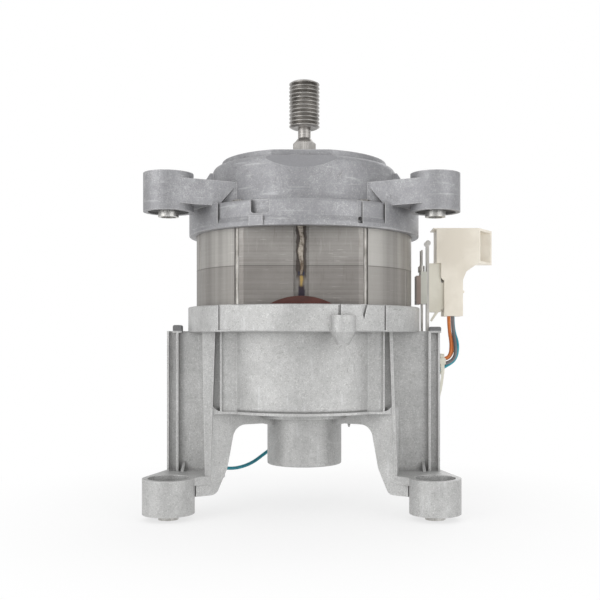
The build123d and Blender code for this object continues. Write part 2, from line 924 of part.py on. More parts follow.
def bowl_cheek():
    # The flat wall on +X from the bowl's front to the leg: an upright rib, a step back and a curled corner
    top = rear_band_bottom + overrun
    ledge_top = ledge_bottom + ledge_height
    lean = (leg_flange_foot_x - leg_flange_x) / (top - lower_lug_top + overrun)
    foot_x = leg_flange_x + lean * (top - ledge_bottom) + right_flange_width / 2
    cheek_back_y = cheek_front_y + cheek_wall
    ledge_front_y = cheek_front_y - ledge_proud
    cheek = block(cheek_inner_x, vent_x, cheek_front_y, cheek_back_y, ledge_bottom, top)
    cheek += upright([
        (vent_x - overrun, top),
        (vent_x - overrun, ledge_bottom),
        (foot_x, ledge_bottom),
        (leg_flange_x + right_flange_width / 2, top),
    ], cheek_front_y + cheek_step, cheek_back_y + cheek_step)
    cheek += block(vent_x - vent_rib_thickness / 2, vent_x + vent_rib_thickness / 2,
                   cheek_front_y - vent_rib_proud, cheek_front_y + cheek_step + overrun, ledge_bottom, top)
    cheek += block(cheek_inner_x, foot_x, ledge_front_y, cheek_back_y, ledge_bottom, ledge_top)
    corner = block(foot_x - ledge_corner, foot_x, ledge_front_y, cheek_back_y, ledge_bottom,
                   ledge_top + ledge_corner)
    hollow = Rot(90, 0, 0) * Cylinder(ledge_corner, 4 * cheek_wall)
    return cheek + (corner - Pos(foot_x - ledge_corner, cheek_front_y, ledge_top + ledge_corner) * hollow)


def rear_bracket():
    shell = turned([
        (tacho_chamber_radius, hub_bottom),
        (hub_radius, hub_bottom, hub_round),
        (hub_radius, step_bottom),
        (step_radius, step_bottom),
        (step_radius, bowl_bottom),
        (bowl_radius, bowl_bottom, bowl_round),
        (bowl_radius, rear_band_bottom),
        (rear_band_radius, rear_band_bottom, hub_round),
        (rear_band_radius, rear_band_top, hub_round),
        (front_band_seat_radius, rear_band_top),
        (front_band_seat_radius, stack_bottom),
        (rear_cavity_radius, stack_bottom),
        (rear_cavity_radius, rear_band_bottom + rear_band_floor),
        (bowl_radius - bowl_wall, rear_band_bottom + rear_band_floor),
        (bowl_radius - bowl_wall, bowl_bottom + bowl_wall, bowl_round),
        (bearing_outer_radius, bowl_bottom + bowl_wall),
        (bearing_outer_radius, rear_bearing_bottom),
        (rear_bearing_lip_radius, rear_bearing_bottom),
        (rear_bearing_lip_radius, tacho_chamber_top),
        (tacho_chamber_radius, tacho_chamber_top),
    ])
    # Side openings in the bowl, in front of and behind each leg's wall
    wall_back_y = leg_wall_front_y + leg_wall
    for x0, y0, y1 in ((vent_x, vent_front_y, leg_wall_front_y), (vent_back_x, wall_back_y, vent_back_y)):
        for opening in both_sides(block(x0, bowl_radius + overrun, y0, y1, vent_bottom, vent_top)):
            shell -= opening
    pad = block(bowl_radius - bowl_wall, holder_pad_x, wall_back_y - overrun, holder_flange_back_y,
                bowl_bottom + hub_round, vent_bottom)
    for piece in both_sides(pad) + both_sides(bowl_cheek()) + both_sides(web()):
        shell += piece
    shell += tube(bowl_radius + ledge_proud, bowl_radius - bowl_wall / 2, ledge_bottom,
                  ledge_bottom + ledge_height) & block(-cheek_inner_x, cheek_inner_x,
                                                       -bowl_radius - overrun - ledge_proud, 0,
                                                       ledge_bottom, ledge_bottom + ledge_height)
    screw_hole = Rot(0, 90, 0) * Cylinder(holder_screw_radius + fit_clearance, 2 * holder_screw_length)
    for hole in both_sides(Pos(holder_pad_x, 0, holder_screw_z) * screw_hole):
        shell -= hole
    shell += leg(right_flange_width, right_flange_width, right_curl)
    shell += mirrored(leg(left_flange_top_width, left_flange_foot_width, left_curl))
    for x, y in lug_places():
        shell += cylinder(lower_lug_radius, lower_lug_bottom, lower_lug_top, x, y)
    for x, y in lug_places():
        shell -= cylinder(lug_bore_radius, lower_lug_bottom - overrun, lower_lug_top + overrun, x, y)
    shell += block(shelf_inner_x, plate_left + shelf_margin, leg_wall_front_y + overrun, shelf_back_y,
                   rear_band_bottom - shelf_thickness, rear_band_bottom)
    plate_right = plate_left + plate_thickness
    shell -= block(plate_left - fit_clearance, plate_right + fit_clearance, plate_front_y - fit_clearance,
                   plate_back_y + fit_clearance, rear_band_bottom - shelf_thickness - overrun,
                   rear_band_bottom + overrun)
    # Cast boss and marks on the band's front
    boss = cylinder(rear_boss_radius, rear_band_bottom, rear_boss_top, rear_boss_x, rear_boss_y)
    drop = rear_band_bottom - rear_boss_tip
    boss += Pos(rear_boss_x, rear_boss_y, rear_boss_tip + drop / 2) * Cone(rear_boss_tip_radius,
                                                                           rear_boss_radius, drop)
    shell += boss - cylinder(front_band_seat_radius + overrun, rear_band_bottom - overrun,
                             rear_boss_top + overrun)
    skin = rear_mark_depth
    shell -= band_skin(rear_band_radius + overrun, skin + overrun, rear_slit_x - rear_slit_width / 2,
                       rear_slit_x + rear_slit_width / 2, rear_boss_top, rear_band_top + overrun)
    mark = upright([
        (rear_mark_x - rear_mark_width / 2, rear_band_top + overrun),
        (rear_mark_x, rear_mark_bottom),
        (rear_mark_x + rear_mark_width / 2, rear_band_top + overrun),
    ], -rear_band_radius, 0)
    shell -= mark & band_skin(rear_band_radius + overrun, skin + overrun, 0, rear_band_radius,
                              rear_mark_bottom, rear_band_top + overrun)
    shell -= band_skin(rear_band_radius + overrun, rear_pocket_depth + overrun, rear_pocket_outer_x,
                       rear_pocket_inner_x, rear_band_bottom + overrun, rear_band_top + overrun)
    shell -= band_skin(rear_band_radius + overrun, rear_pocket_depth + overrun, -rear_pocket_outer_x,
                       -rear_pocket_outer_x + rear_groove_width, rear_band_bottom + overrun,
                       rear_band_top + overrun)
    nub_drop = step_bottom - hub_nub_tip
    shell += Pos(hub_nub_x, hub_nub_y, step_bottom - nub_drop / 2) * Cone(
        hub_nub_tip_radius, hub_nub_radius, nub_drop)
    for x, y in bolt_places():
        shell -= cylinder(bolt_radius + thread_clearance, bolt_bottom - overrun, rear_band_top + overrun,
                          x, y)
    return shell


# Brush gear, drawn on +X

def radial_box(x0, x1, half_y, half_z):
    return block(x0, x1, -half_y, half_y, brush_z - half_z, brush_z + half_z)


def carbon_brush():
    start = commutator_radius + brush_gap
    brush = radial_box(start - overrun, start + brush_length, brush_width / 2, brush_height / 2)
    return brush - cylinder(start, commutator_bottom, commutator_top)


def brush_box():
    hole_y = brush_width / 2 + brush_side_clearance
    hole_z = brush_height / 2 + brush_side_clearance
    box = radial_box(brush_box_start, brush_box_end, hole_y + brush_box_wall, hole_z + brush_box_wall)
    box -= radial_box(brush_box_start - overrun, brush_box_end + overrun, hole_y, hole_z)
    tab = block(brush_box_end - brush_tab_thickness, brush_box_end, hole_y, brush_tab_y + brush_tab_half,
                brush_z - brush_tab_half, brush_z + brush_tab_half)
    return box + tab


def brush_holder():
    inner_y = brush_width / 2 + brush_side_clearance + brush_box_wall
    inner_z = brush_height / 2 + brush_side_clearance + brush_box_wall
    front_y = leg_wall_front_y + leg_wall + brush_gap
    holder = radial_box(holder_start, brush_box_end - brush_tab_thickness, inner_y + holder_wall,
                        inner_z + holder_wall)
    holder += block(holder_pad_x, holder_pad_x + holder_flange_thickness, front_y, holder_flange_back_y,
                    holder_flange_bottom, brush_z + holder_flange_half_z)
    holder -= radial_box(holder_start - overrun, brush_box_end + overrun, inner_y, inner_z)
    screw_hole = Cylinder(holder_screw_radius + fit_clearance, 2 * holder_screw_length)
    holder -= Pos(holder_pad_x, 0, holder_screw_z) * Rot(0, 90, 0) * screw_hole
    cap = radial_box(brush_box_end, brush_box_end + holder_cap, inner_y + holder_wall, inner_z)
    return holder, cap


def holder_screw():
    start = holder_pad_x + holder_flange_thickness
    shank = Rot(0, 90, 0) * Cylinder(holder_screw_radius, holder_screw_length,
                                     align=(Align.CENTER, Align.CENTER, Align.MAX))
    head = Rot(0, 90, 0) * Cylinder(holder_screw_head_radius, holder_screw_head,
                                    align=(Align.CENTER, Align.CENTER, Align.MIN))
    return Pos(start, 0, holder_screw_z) * (shank + head)


def brush_spring():
    start = commutator_radius + brush_gap + brush_length
    length = brush_box_end - start - brush_spring_wire - fit_clearance * 2
    pitch = length / brush_spring_turns
    path = Helix(pitch, length, brush_spring_radius)
    profile = Plane(origin=path @ 0, z_dir=path % 0) * Circle(brush_spring_wire / 2)
    coil = sweep(profile, path=path)
    middle = start + brush_spring_wire / 2 + fit_clearance
    return Pos(middle, 0, brush_z) * Rot(0, 90, 0) * coil


# Tacho

def tacho_coil():
    return tube(tacho_chamber_radius - seat_clearance, tacho_coil_inner, tacho_coil_bottom, tacho_coil_top)


def tacho_cap():
    cap = cylinder(tacho_chamber_radius - seat_clearance, hub_bottom, hub_bottom + tacho_cap_thickness)
    lip_outer = tacho_chamber_radius - seat_clearance
    return cap + tube(lip_outer, lip_outer - tacho_cap_lip_wall, hub_bottom, tacho_coil_bottom)


# Terminal group on +X

def terminal_housing():
    back_y = head_front_y + head_depth
    head = level([
        (head_left, head_front_y),
        (head_right, head_front_y),
        (head_far_right, back_y),
        (head_left, back_y),
    ], head_bottom, head_top)
    head -= block(head_left + head_wall, head_far_right + overrun, head_front_y + head_wall,
                  back_y - head_wall, head_bottom + head_wall, head_top - head_wall)
    head += block(head_left - head_lip, head_left + overrun, head_front_y, back_y,
                  head_top - head_lip_thickness, head_top)
    stem = upright([
        (stem_wide_left, head_bottom),
        (stem_wide_left, stem_step),
        (stem_left, stem_step - stem_latch_inset),
        (stem_left, stem_bottom),
        (stem_right, stem_bottom),
        (stem_right, head_bottom - stem_latch_height),
        (stem_right + stem_latch_inset, head_bottom - stem_latch_height / 2),
        (stem_right + stem_latch_reach, head_bottom),
    ], head_front_y, back_y)
    nub = Rot(90, 0, 0) * Cylinder(stem_nub, head_depth)
    return head + stem + Pos(stem_right, (head_front_y + back_y) / 2, stem_nub_z) * nub


def terminal_base():
    plate_right = plate_left + plate_thickness
    front_y = head_front_y + base_inset
    back_y = head_front_y + head_depth - base_inset
    base = block(plate_right, stem_wide_left, front_y, back_y, base_bottom, head_bottom)
    tongue = block(stem_wide_left - overrun, stem_left, front_y, back_y, base_bottom + base_inset,
                   stem_step - stem_latch_inset - overrun)
    strut = upright([
        (strut_left, strut_bottom),
        (strut_left + strut_thickness, strut_bottom - strut_thickness / 2),
        (stem_wide_left - overrun, base_bottom + half_overrun),
        (stem_wide_left - overrun - strut_thickness * 2, base_bottom + half_overrun),
    ], front_y, front_y + strut_thickness * 2)
    return base + tongue + strut


def terminal_blades():
    blades = []
    floor_x = head_left + head_wall
    pitch = (head_depth - 2 * head_wall) / blade_count
    middle_z = (head_bottom + head_top) / 2
    for index in range(blade_count):
        y = head_front_y + head_wall + pitch * (index + 0.5)
        blades.append(block(floor_x, blade_end, y - blade_thickness / 2, y + blade_thickness / 2,
                            middle_z - blade_height / 2, middle_z + blade_height / 2))
    return group(blades)


def terminal_plate():
    plate_right = plate_left + plate_thickness
    middle = (plate_left + plate_right) / 2
    plate = block(plate_left, plate_right, plate_front_y, plate_back_y, rear_band_bottom - shelf_thickness,
                  plate_top)
    knob = Rot(90, 0, 0) * Cylinder(plate_knob_radius, plate_back_y - plate_front_y)
    return plate + Pos(middle, (plate_front_y + plate_back_y) / 2, plate_top) * knob


def terminal_inner_block():
    return block(inner_block_left, plate_left, plate_front_y, carrier_back_y, inner_block_bottom,
                 inner_block_top)


def phenolic_strip():
    return block(inner_block_left - strip_thickness, inner_block_left, plate_front_y, carrier_back_y,
                 strip_bottom, strip_top)


def terminal_pins():
    pins = []
    for y in pin_y_places:
        pin = cylinder(pin_radius, inner_block_top, pin_top, pin_x, y)
        pin += cylinder(pin_hook_radius, inner_block_top, inner_block_top + pin_hook_height, pin_x, y)
        pins.append(pin)
    pins.append(cylinder(pin_stem_radius, rear_band_bottom, inner_block_bottom, pin_x, pin_y_places[0]))
    return group(pins)


# Leads: routes of straight runs joined by tangent arcs

def turn_angle(before, corner, after):
    return (corner - before).get_angle(after - corner)


def lead(name, points):
    spots = [Vector(*point) for point in points]
    radii = []
    for before, corner, after in zip(spots, spots[1:], spots[2:]):
        half_turn = math.radians(turn_angle(before, corner, after)) / 2
        shorter = min((corner - before).length, (after - corner).length)
        radii.append(lead_arc_share * shorter / math.tan(half_turn))
    path = FilletPolyline(*spots, radius=radii)
    body = sweep(Plane(origin=path @ 0, z_dir=path % 0) * Circle(lead_radius), path=path)
    expected = math.pi * lead_radius ** 2 * path.length
    print(name, "length", round(path.length, 1), "radii", [round(radius, 1) for radius in radii],
          "volume share", round(body.volume / expected, 4))
    return body


lead_orange_a_route = [
    (89.1, 4.6, 115.4), (89.1, 4.6, 107.0), (90.4, 2.8, 98.2), (89.4, 1.7, 90.4), (84.2, 1.6, 88.8),
    (75.5, 4.2, 89.4), (67.0, 11.0, 90.2), (58.5, 15.0, 90.4), (49.4, 15.0, 91.4), (42.0, 14.8, 96.2),
    (42.0, 14.8, 104.0)]
lead_orange_b_route = [
    (89.3, 7.6, 115.4), (89.3, 7.6, 106.6), (92.1, 5.9, 97.0), (89.8, 4.5, 89.8), (84.0, 4.3, 88.6),
    (76.0, 8.0, 86.9), (69.0, 14.4, 88.0), (60.0, 18.6, 89.6), (50.4, 18.6, 91.4), (42.0, 18.2, 96.2),
    (42.0, 18.2, 104.0)]
lead_grey_route = [
    (91.3, 4.4, 115.4), (91.3, 4.4, 107.6), (92.8, 2.2, 98.0), (92.6, 1.5, 89.4), (86.2, 1.5, 85.8),
    (77.5, 3.2, 85.8), (68.6, 11.0, 84.0), (58.0, 11.0, 84.0)]
lead_blue_route = [
    (91.9, 7.5, 115.4), (91.9, 7.5, 107.2), (95.0, 5.7, 98.2), (93.4, 4.5, 88.6), (86.8, 4.3, 84.4),
    (79.6, 4.6, 80.6), (72.5, 7.0, 71.6), (66.0, 13.0, 59.4), (51.0, 22.4, 51.8), (32.0, 30.6, 52.2),
    (12.0, 32.6, 48.0), (-4.0, 31.0, 41.6), (-16.0, 27.0, 35.4), (-25.4, 22.0, 29.0), (-34.6, 17.5, 22.2),
    (-46.5, 13.0, 19.6), (-57.5, 9.5, 23.0), (-66.0, 7.0, 34.0), (-71.0, 7.5, 50.0), (-73.0, 9.4, 65.0),
    (-72.6, 11.0, 77.0), (-66.0, 11.0, 84.0), (-58.0, 11.0, 84.0)]
cable_tie_tail_route = [
    (84.3, -1.0, 86.4), (84.3, -1.4, 78.0), (83.2, -1.3, 70.6), (81.2, -0.6, 62.4), (78.6, 1.0, 55.0)]


def cable_tie():
    # A band round the four leads, its square head in front and its tail hanging beside the leg
    middle = Pos(tie_x, tie_y, tie_z) * Rot(0, 90, 0)
    loop = RectangleRounded(tie_inner_height + 2 * tie_wall, tie_inner_width + 2 * tie_wall, tie_round)
    loop -= RectangleRounded(tie_inner_height, tie_inner_width, tie_round - tie_wall)
    band = middle * extrude(loop, tie_band / 2, both=True)
    front_y = tie_y - tie_inner_width / 2 - tie_wall
    head = block(tie_x - tie_head / 2, tie_x + tie_head / 2, front_y - tie_head_proud, front_y + tie_wall / 2,
                 tie_z, tie_z + tie_head)
    tail_spots = [Vector(*point) for point in cable_tie_tail_route]
    path = FilletPolyline(*tail_spots, radius=tie_tail_bend)
    start = Plane(origin=path @ 0, x_dir=(1, 0, 0), z_dir=path % 0)
    return band + head + sweep(start * Rectangle(tie_tail_width, tie_tail_thickness), path=path)


def main():
    save("shaft", shaft())
    save("pulley", pulley())
    save("shaft_collar", shaft_collar())
    save("rotor_pack", rotor_pack())
    lower_low = stack_bottom - winding_height
    upper_high = stack_top + winding_height
    save("rotor_winding_lower", rotor_winding(lower_low, stack_bottom, True)
         + winding_spacer(lower_low, stack_bottom))
    save("rotor_winding_upper", rotor_winding(stack_top, upper_high, False)
         + winding_spacer(stack_top, upper_high))
    save("commutator_core", commutator_core())
    save("commutator_bars", commutator_bars())
    save("cooling_fan", cooling_fan())
    save("tacho_magnet", tacho_magnet())
    for end, bottom in (("front", front_bearing_bottom), ("rear", rear_bearing_bottom)):
        save(end + "_bearing_outer_ring", bearing_outer(bottom))
        save(end + "_bearing_inner_ring", bearing_inner(bottom))
        save(end + "_bearing_balls", bearing_balls(bottom))
        save(end + "_bearing_cage", bearing_cage(bottom))
    save("bearing_wave_spring", bearing_wave_spring())
    middle = (stack_bottom + stack_top) / 2
    save("stator_pack_lower", stack_half(stack_bottom, middle, 1))
    save("stator_pack_upper", stack_half(middle, stack_top, -1))
    save("stator_welds", stator_welds())
    save("field_coil_right", field_coil())
    save("field_coil_left", mirrored(field_coil()))
    save("insulation_slips", insulation_slips())
    save("through_bolts", through_bolts())
    save("lug_sleeves_lower", lug_sleeves(0))
    save("lug_sleeves_upper", lug_sleeves(upper_sleeve_bottom))
    save("lug_bushes_lower", lug_bushes(lower_lug_bottom + bush_inset))
    save("lug_bushes_upper", lug_bushes(upper_lug_bottom + bush_inset))
    save("front_bracket", front_bracket())
    save("rear_bracket", rear_bracket())
    holder, cap = brush_holder()
    for side, place in (("right", lambda shape: shape), ("left", mirrored)):
        save("carbon_brush_" + side, place(carbon_brush()))
        save("brush_box_" + side, place(brush_box()))
        save("brush_holder_" + side, place(holder))
        save("brush_cap_" + side, place(cap))
        save("brush_spring_" + side, place(brush_spring()))
    save("brush_holder_screws", group(both_sides(holder_screw())))
    save("tacho_coil", tacho_coil())
    save("tacho_cap", tacho_cap())
    save("terminal_housing", terminal_housing())
    save("terminal_base", terminal_base())
    save("terminal_blades", terminal_blades())
    save("terminal_plate", terminal_plate())
    save("terminal_inner_block", terminal_inner_block())
    save("phenolic_strip", phenolic_strip())
    save("terminal_pins", terminal_pins())
    save("lead_orange_a", lead("lead_orange_a", lead_orange_a_route))
    save("lead_orange_b", lead("lead_orange_b", lead_orange_b_route))
    save("lead_grey", lead("lead_grey", lead_grey_route))
    save("lead_blue", lead("lead_blue", lead_blue_route))
    save("cable_tie", cable_tie())


main()
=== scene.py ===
import math
import random

import bmesh
import bpy
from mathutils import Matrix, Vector


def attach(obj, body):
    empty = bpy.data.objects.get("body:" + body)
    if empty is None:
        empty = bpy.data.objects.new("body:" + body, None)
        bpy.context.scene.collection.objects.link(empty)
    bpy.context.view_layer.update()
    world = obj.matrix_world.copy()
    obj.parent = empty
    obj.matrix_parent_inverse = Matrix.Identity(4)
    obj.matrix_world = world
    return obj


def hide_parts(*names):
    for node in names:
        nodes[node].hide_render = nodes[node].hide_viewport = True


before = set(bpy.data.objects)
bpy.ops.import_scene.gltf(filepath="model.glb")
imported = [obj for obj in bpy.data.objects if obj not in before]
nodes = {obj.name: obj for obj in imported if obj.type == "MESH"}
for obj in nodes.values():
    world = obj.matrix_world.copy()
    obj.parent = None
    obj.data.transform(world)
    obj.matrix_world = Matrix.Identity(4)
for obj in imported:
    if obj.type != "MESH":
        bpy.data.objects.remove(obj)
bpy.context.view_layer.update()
random.seed(7)

WHITE = (1.0, 1.0, 1.0, 1.0)
# The shaft stands this far behind the line through the lugs, in metres
SHAFT_Y = 0.045
MM = 0.001


# Node tree helpers

# The bevel normal against the true one, on flats and on sharp edges
FLAT_DOT = 0.995
SHARP_DOT = 0.86
# The share of open sky that counts as open, and as deep in a recess
OPEN_SHARE = 0.85
DEEP_SHARE = 0.25
# Samples that the bevel node and the occlusion node for the painted shade take
BEVEL_SAMPLES = 4
HOLLOW_SHADE_SAMPLES = 6


class Tree:
    """A material's nodes, added and wired by short calls."""

    def __init__(self, name):
        self.material = bpy.data.materials.new(name)
        self.material.use_nodes = True
        self.nodes = self.material.node_tree.nodes
        self.links = self.material.node_tree.links
        self.shader = self.nodes["Principled BSDF"]
        self.position = self.add("ShaderNodeNewGeometry").outputs["Position"]

    def add(self, kind, **values):
        node = self.nodes.new(kind)
        for key, value in values.items():
            setattr(node, key, value)
        return node

    def wire(self, source, target):
        if isinstance(source, (int, float, tuple)):
            target.default_value = source
        else:
            self.links.new(source, target)

    def scaled(self, factors):
        """The place with each axis stretched, for noise that runs along one of them."""
        node = self.add("ShaderNodeVectorMath", operation="MULTIPLY")
        self.wire(self.position, node.inputs[0])
        node.inputs[1].default_value = factors
        return node.outputs[0]

    def noise(self, scale, detail, roughness, source=None, distortion=0.0):
        """Cloudy noise, 0 to 1: cycles to the metre, layers of detail, and how much each layer keeps."""
        node = self.add("ShaderNodeTexNoise")
        self.wire(source or self.position, node.inputs["Vector"])
        node.inputs["Scale"].default_value = scale
        node.inputs["Detail"].default_value = detail
        node.inputs["Roughness"].default_value = roughness
        node.inputs["Distortion"].default_value = distortion
        return node.outputs["Fac"]

    def cells(self, scale):
        node = self.add("ShaderNodeTexVoronoi")
        self.wire(self.position, node.inputs["Vector"])
        node.inputs["Scale"].default_value = scale
        return node.outputs["Distance"]

    def math(self, operation, a, b=None):
        node = self.add("ShaderNodeMath", operation=operation)
        self.wire(a, node.inputs[0])
        if b is not None:
            self.wire(b, node.inputs[1])
        return node.outputs[0]

    def times(self, a, b):
        return self.math("MULTIPLY", a, b)

    def off(self, source, place):
        """How far the source lies from a place, either way."""
        return self.math("ABSOLUTE", self.math("SUBTRACT", source, place))

    def band(self, source, low, high, out_low=0.0, out_high=1.0, smooth=True):
        """out_low where the source is low, out_high where it is high, and a blend in between."""
        node = self.add("ShaderNodeMapRange", interpolation_type="SMOOTHSTEP" if smooth else "LINEAR")
        self.wire(source, node.inputs["Value"])
        limits = {"From Min": low, "From Max": high, "To Min": out_low, "To Max": out_high}
        for key, value in limits.items():
            node.inputs[key].default_value = value
        return node.outputs["Result"]

    def span(self, source, start, full, fade, end):
        """0 before start, 1 from full to fade, 0 again past end."""
        return self.times(self.band(source, start, full), self.band(source, end, fade))

    def mix(self, factor, a, b):
        node = self.add("ShaderNodeMix", data_type="RGBA")
        self.wire(factor, node.inputs["Factor"])
        self.wire(a, node.inputs["A"])
        self.wire(b, node.inputs["B"])
        return node.outputs["Result"]

    def split(self, source=None):
        node = self.add("ShaderNodeSeparateXYZ")
        self.wire(source or self.position, node.inputs[0])
        return node.outputs

    def edges(self, radius):
        """1 on sharp edges, 0 on flats, from the bevel normal."""
        bevel = self.add("ShaderNodeBevel", samples=BEVEL_SAMPLES)
        bevel.inputs["Radius"].default_value = radius
        dot = self.add("ShaderNodeVectorMath", operation="DOT_PRODUCT")
        geometry = self.add("ShaderNodeNewGeometry")
        self.wire(bevel.outputs[0], dot.inputs[0])
        self.wire(geometry.outputs["Normal"], dot.inputs[1])
        return self.band(dot.outputs["Value"], FLAT_DOT, SHARP_DOT)

    def hollow_shade_mask(self, reach):
        """1 deep in corners and recesses, 0 on open faces: the mask for painted shade."""
        node = self.add("ShaderNodeAmbientOcclusion", samples=HOLLOW_SHADE_SAMPLES)
        node.inputs["Distance"].default_value = reach
        return self.band(node.outputs["AO"], OPEN_SHARE, DEEP_SHARE)

    def bump(self, height, strength, distance, normal=None):
        node = self.add("ShaderNodeBump")
        node.inputs["Strength"].default_value = strength
        node.inputs["Distance"].default_value = distance
        self.wire(height, node.inputs["Height"])
        if normal is not None:
            self.wire(normal, node.inputs["Normal"])
        return node.outputs["Normal"]

    def set(self, color=None, roughness=None, metallic=None, normal=None, specular=None):
        wanted = {"Base Color": color, "Roughness": roughness, "Metallic": metallic, "Normal": normal,
                  "Specular IOR Level": specular}
        for key, value in wanted.items():
            if value is not None:
                self.wire(value, self.shader.inputs[key])
        return self.material


def linear(red, green, blue):
    """A colour given as it shows on screen, 0 to 255, as the shader wants it."""
    shares = [value / 255 for value in (red, green, blue)]
    out = [share / 12.92 if share <= 0.04045 else ((share + 0.055) / 1.055) ** 2.4 for share in shares]
    return (out[0], out[1], out[2], 1.0)


# Materials

# Colours that the photo shows on every casting: dull and pale mottle, specks, smears, lines, stains and edges
DULL_MOTTLE = linear(116, 116, 114)
PALE_MOTTLE = linear(222, 223, 222)
PALE_GRIT = linear(232, 232, 230)
DARK_GRIT = linear(104, 104, 102)
SMEAR = linear(220, 221, 222)
PAINTED_GLINT = linear(240, 240, 238)
FLOW_LINE = linear(92, 90, 86)
STAIN = linear(98, 94, 88)
PAINTED_EDGE_HIGHLIGHT = linear(234, 234, 233)
PAINTED_CREVICE_SHADE = linear(84, 82, 80)
CURL_SHADE = linear(98, 98, 100)
# How far a casting's painted highlights on edges, painted shade in crevices and rounding reach, and how deep
# its turned rings are
EDGE_HIGHLIGHT_REACH = 0.0008
HOLLOW_SHADE_REACH = 0.004
CAST_ROUNDING = 0.0005
RING_DEPTH = 0.00005
# The curled tops of the legs: how far out they start, and the heights where their shade starts, is full,
# fades and ends
CURL_SIDES = (0.0712, 0.0718)
CURL_HEIGHTS = (0.1058, 0.1064, 0.1130, 0.1140)
# The smooth slant cut across the dome: how much it faces up and sideways, and the height where it starts
SLANT_UP = (0.16, 0.2, 0.93, 0.97)
SLANT_SIDEWAYS = (0.03, 0.01)
SLANT_BOTTOM = (0.1880, 0.1885)
# The turned top: the height where it starts, and its rings in radians to the metre
TURNED_BOTTOM = (0.2055, 0.2065)
TURNED_RINGS = 14000.0


def cast_tone(tree, cloud, mottle, light, dark, stain, smear, grit_share):
    """Sand-cast aluminium's tone: mottled and gritty, with pale smears, painted glints as pale dots, flow
    lines and stains.
    """
    tone = tree.mix(tree.band(cloud, 0.34, 0.66, 0.28, 0.72), dark, light)
    tone = tree.mix(tree.band(mottle, 0.34, 0.50, 0.15, 0.0), tone, DULL_MOTTLE)
    tone = tree.mix(tree.band(mottle, 0.52, 0.70, 0.0, 0.20), tone, PALE_MOTTLE)
    grit = tree.noise(1500.0, 3.0, 0.65)
    tone = tree.mix(tree.band(grit, 0.56, 0.68, 0.0, grit_share), tone, PALE_GRIT)
    tone = tree.mix(tree.band(grit, 0.44, 0.33, 0.0, 0.7 * grit_share), tone, DARK_GRIT)
    scratch = tree.noise(520.0, 3.0, 0.5, tree.scaled(smear))
    tone = tree.mix(tree.band(scratch, 0.60, 0.74, 0.0, 0.3), tone, SMEAR)
    # Painted glints: pale dots where the cloud is light
    glints = tree.times(tree.band(tree.cells(1150.0), 0.30, 0.16), tree.band(cloud, 0.48, 0.62))
    tone = tree.mix(tree.times(glints, 0.5), tone, PAINTED_GLINT)
    flow = tree.noise(62.0, 5.0, 0.6, distortion=1.6)
    line = tree.band(tree.off(flow, 0.5), 0.0016, 0.006, 1.0, 0.0)
    line = tree.times(line, tree.band(tree.noise(24.0, 2.0, 0.55), 0.46, 0.6))
    tone = tree.mix(tree.times(line, 0.42), tone, FLOW_LINE)
    blot = tree.noise(95.0, 6.0, 0.72, distortion=0.7)
    return tree.mix(tree.band(blot, 0.61, 0.74, 0.0, stain), tone, STAIN)


def cast_places(tree, tone, axes, facings, dark):
    """What the casting shows in places: painted highlights on edges, painted shade in crevices and on the
    curls, and the dark slant.
    """
    # Painted highlight: a lighter colour along the sharp edges
    tone = tree.mix(tree.times(tree.edges(EDGE_HIGHLIGHT_REACH), 0.5), tone, PAINTED_EDGE_HIGHLIGHT)
    # Painted shade: darker deep in corners and recesses
    tone = tree.mix(tree.times(tree.hollow_shade_mask(HOLLOW_SHADE_REACH), 0.45), tone, PAINTED_CREVICE_SHADE)
    aside = tree.math("ABSOLUTE", axes[0])
    curl = tree.times(tree.span(axes[2], *CURL_HEIGHTS), tree.band(aside, *CURL_SIDES))
    tone = tree.mix(tree.times(curl, 0.85), tone, CURL_SHADE)
    sideways = tree.math("ABSOLUTE", facings[0])
    slant = tree.times(tree.span(facings[2], *SLANT_UP), tree.band(sideways, *SLANT_SIDEWAYS))
    slant = tree.times(slant, tree.band(axes[2], *SLANT_BOTTOM))
    return tree.mix(tree.times(slant, 0.8), tone, dark)


def turned_rings(tree, axes, facing):
    """Rings round the shaft on the level faces of the turned top."""
    middle = tree.add("ShaderNodeVectorMath", operation="DISTANCE")
    tree.wire(tree.position, middle.inputs[0])
    on_axis = tree.add("ShaderNodeCombineXYZ")
    on_axis.inputs["Y"].default_value = SHAFT_Y
    tree.wire(axes[2], on_axis.inputs["Z"])
    tree.wire(on_axis.outputs[0], middle.inputs[1])
    rings = tree.math("SINE", tree.times(middle.outputs["Value"], TURNED_RINGS))
    rings = tree.times(rings, tree.band(facing, 0.9, 0.98))
    return tree.times(rings, tree.band(axes[2], *TURNED_BOTTOM))


def cast_metal(name, light, dark, grain_depth, stain, smear, grit_share):
    """A casting: its tone, what it shows in places, rounded edges, grain and turned rings on top."""
    tree = Tree(name)
    axes = tree.split()
    facings = tree.split(tree.add("ShaderNodeNewGeometry").outputs["True Normal"])
    cloud = tree.noise(45.0, 5.0, 0.62)
    mottle = tree.noise(330.0, 6.0, 0.72, distortion=0.4)
    fine = tree.noise(1300.0, 3.0, 0.65)
    tone = cast_tone(tree, cloud, mottle, light, dark, stain, smear, grit_share)
    tone = cast_places(tree, tone, axes, facings, dark)
    soft = tree.add("ShaderNodeBevel", samples=BEVEL_SAMPLES)
    soft.inputs["Radius"].default_value = CAST_ROUNDING
    height = tree.math("ADD", fine, tree.times(tree.cells(800.0), 0.6))
    normal = tree.bump(height, 0.45, grain_depth, soft.outputs[0])
    normal = tree.bump(mottle, 0.30, grain_depth * 2.5, normal)
    normal = tree.bump(turned_rings(tree, axes, facings[2]), 0.30, RING_DEPTH, normal)
    return tree.set(tone, tree.band(fine, 0.3, 0.75, 0.42, 0.6), 0.5, normal)


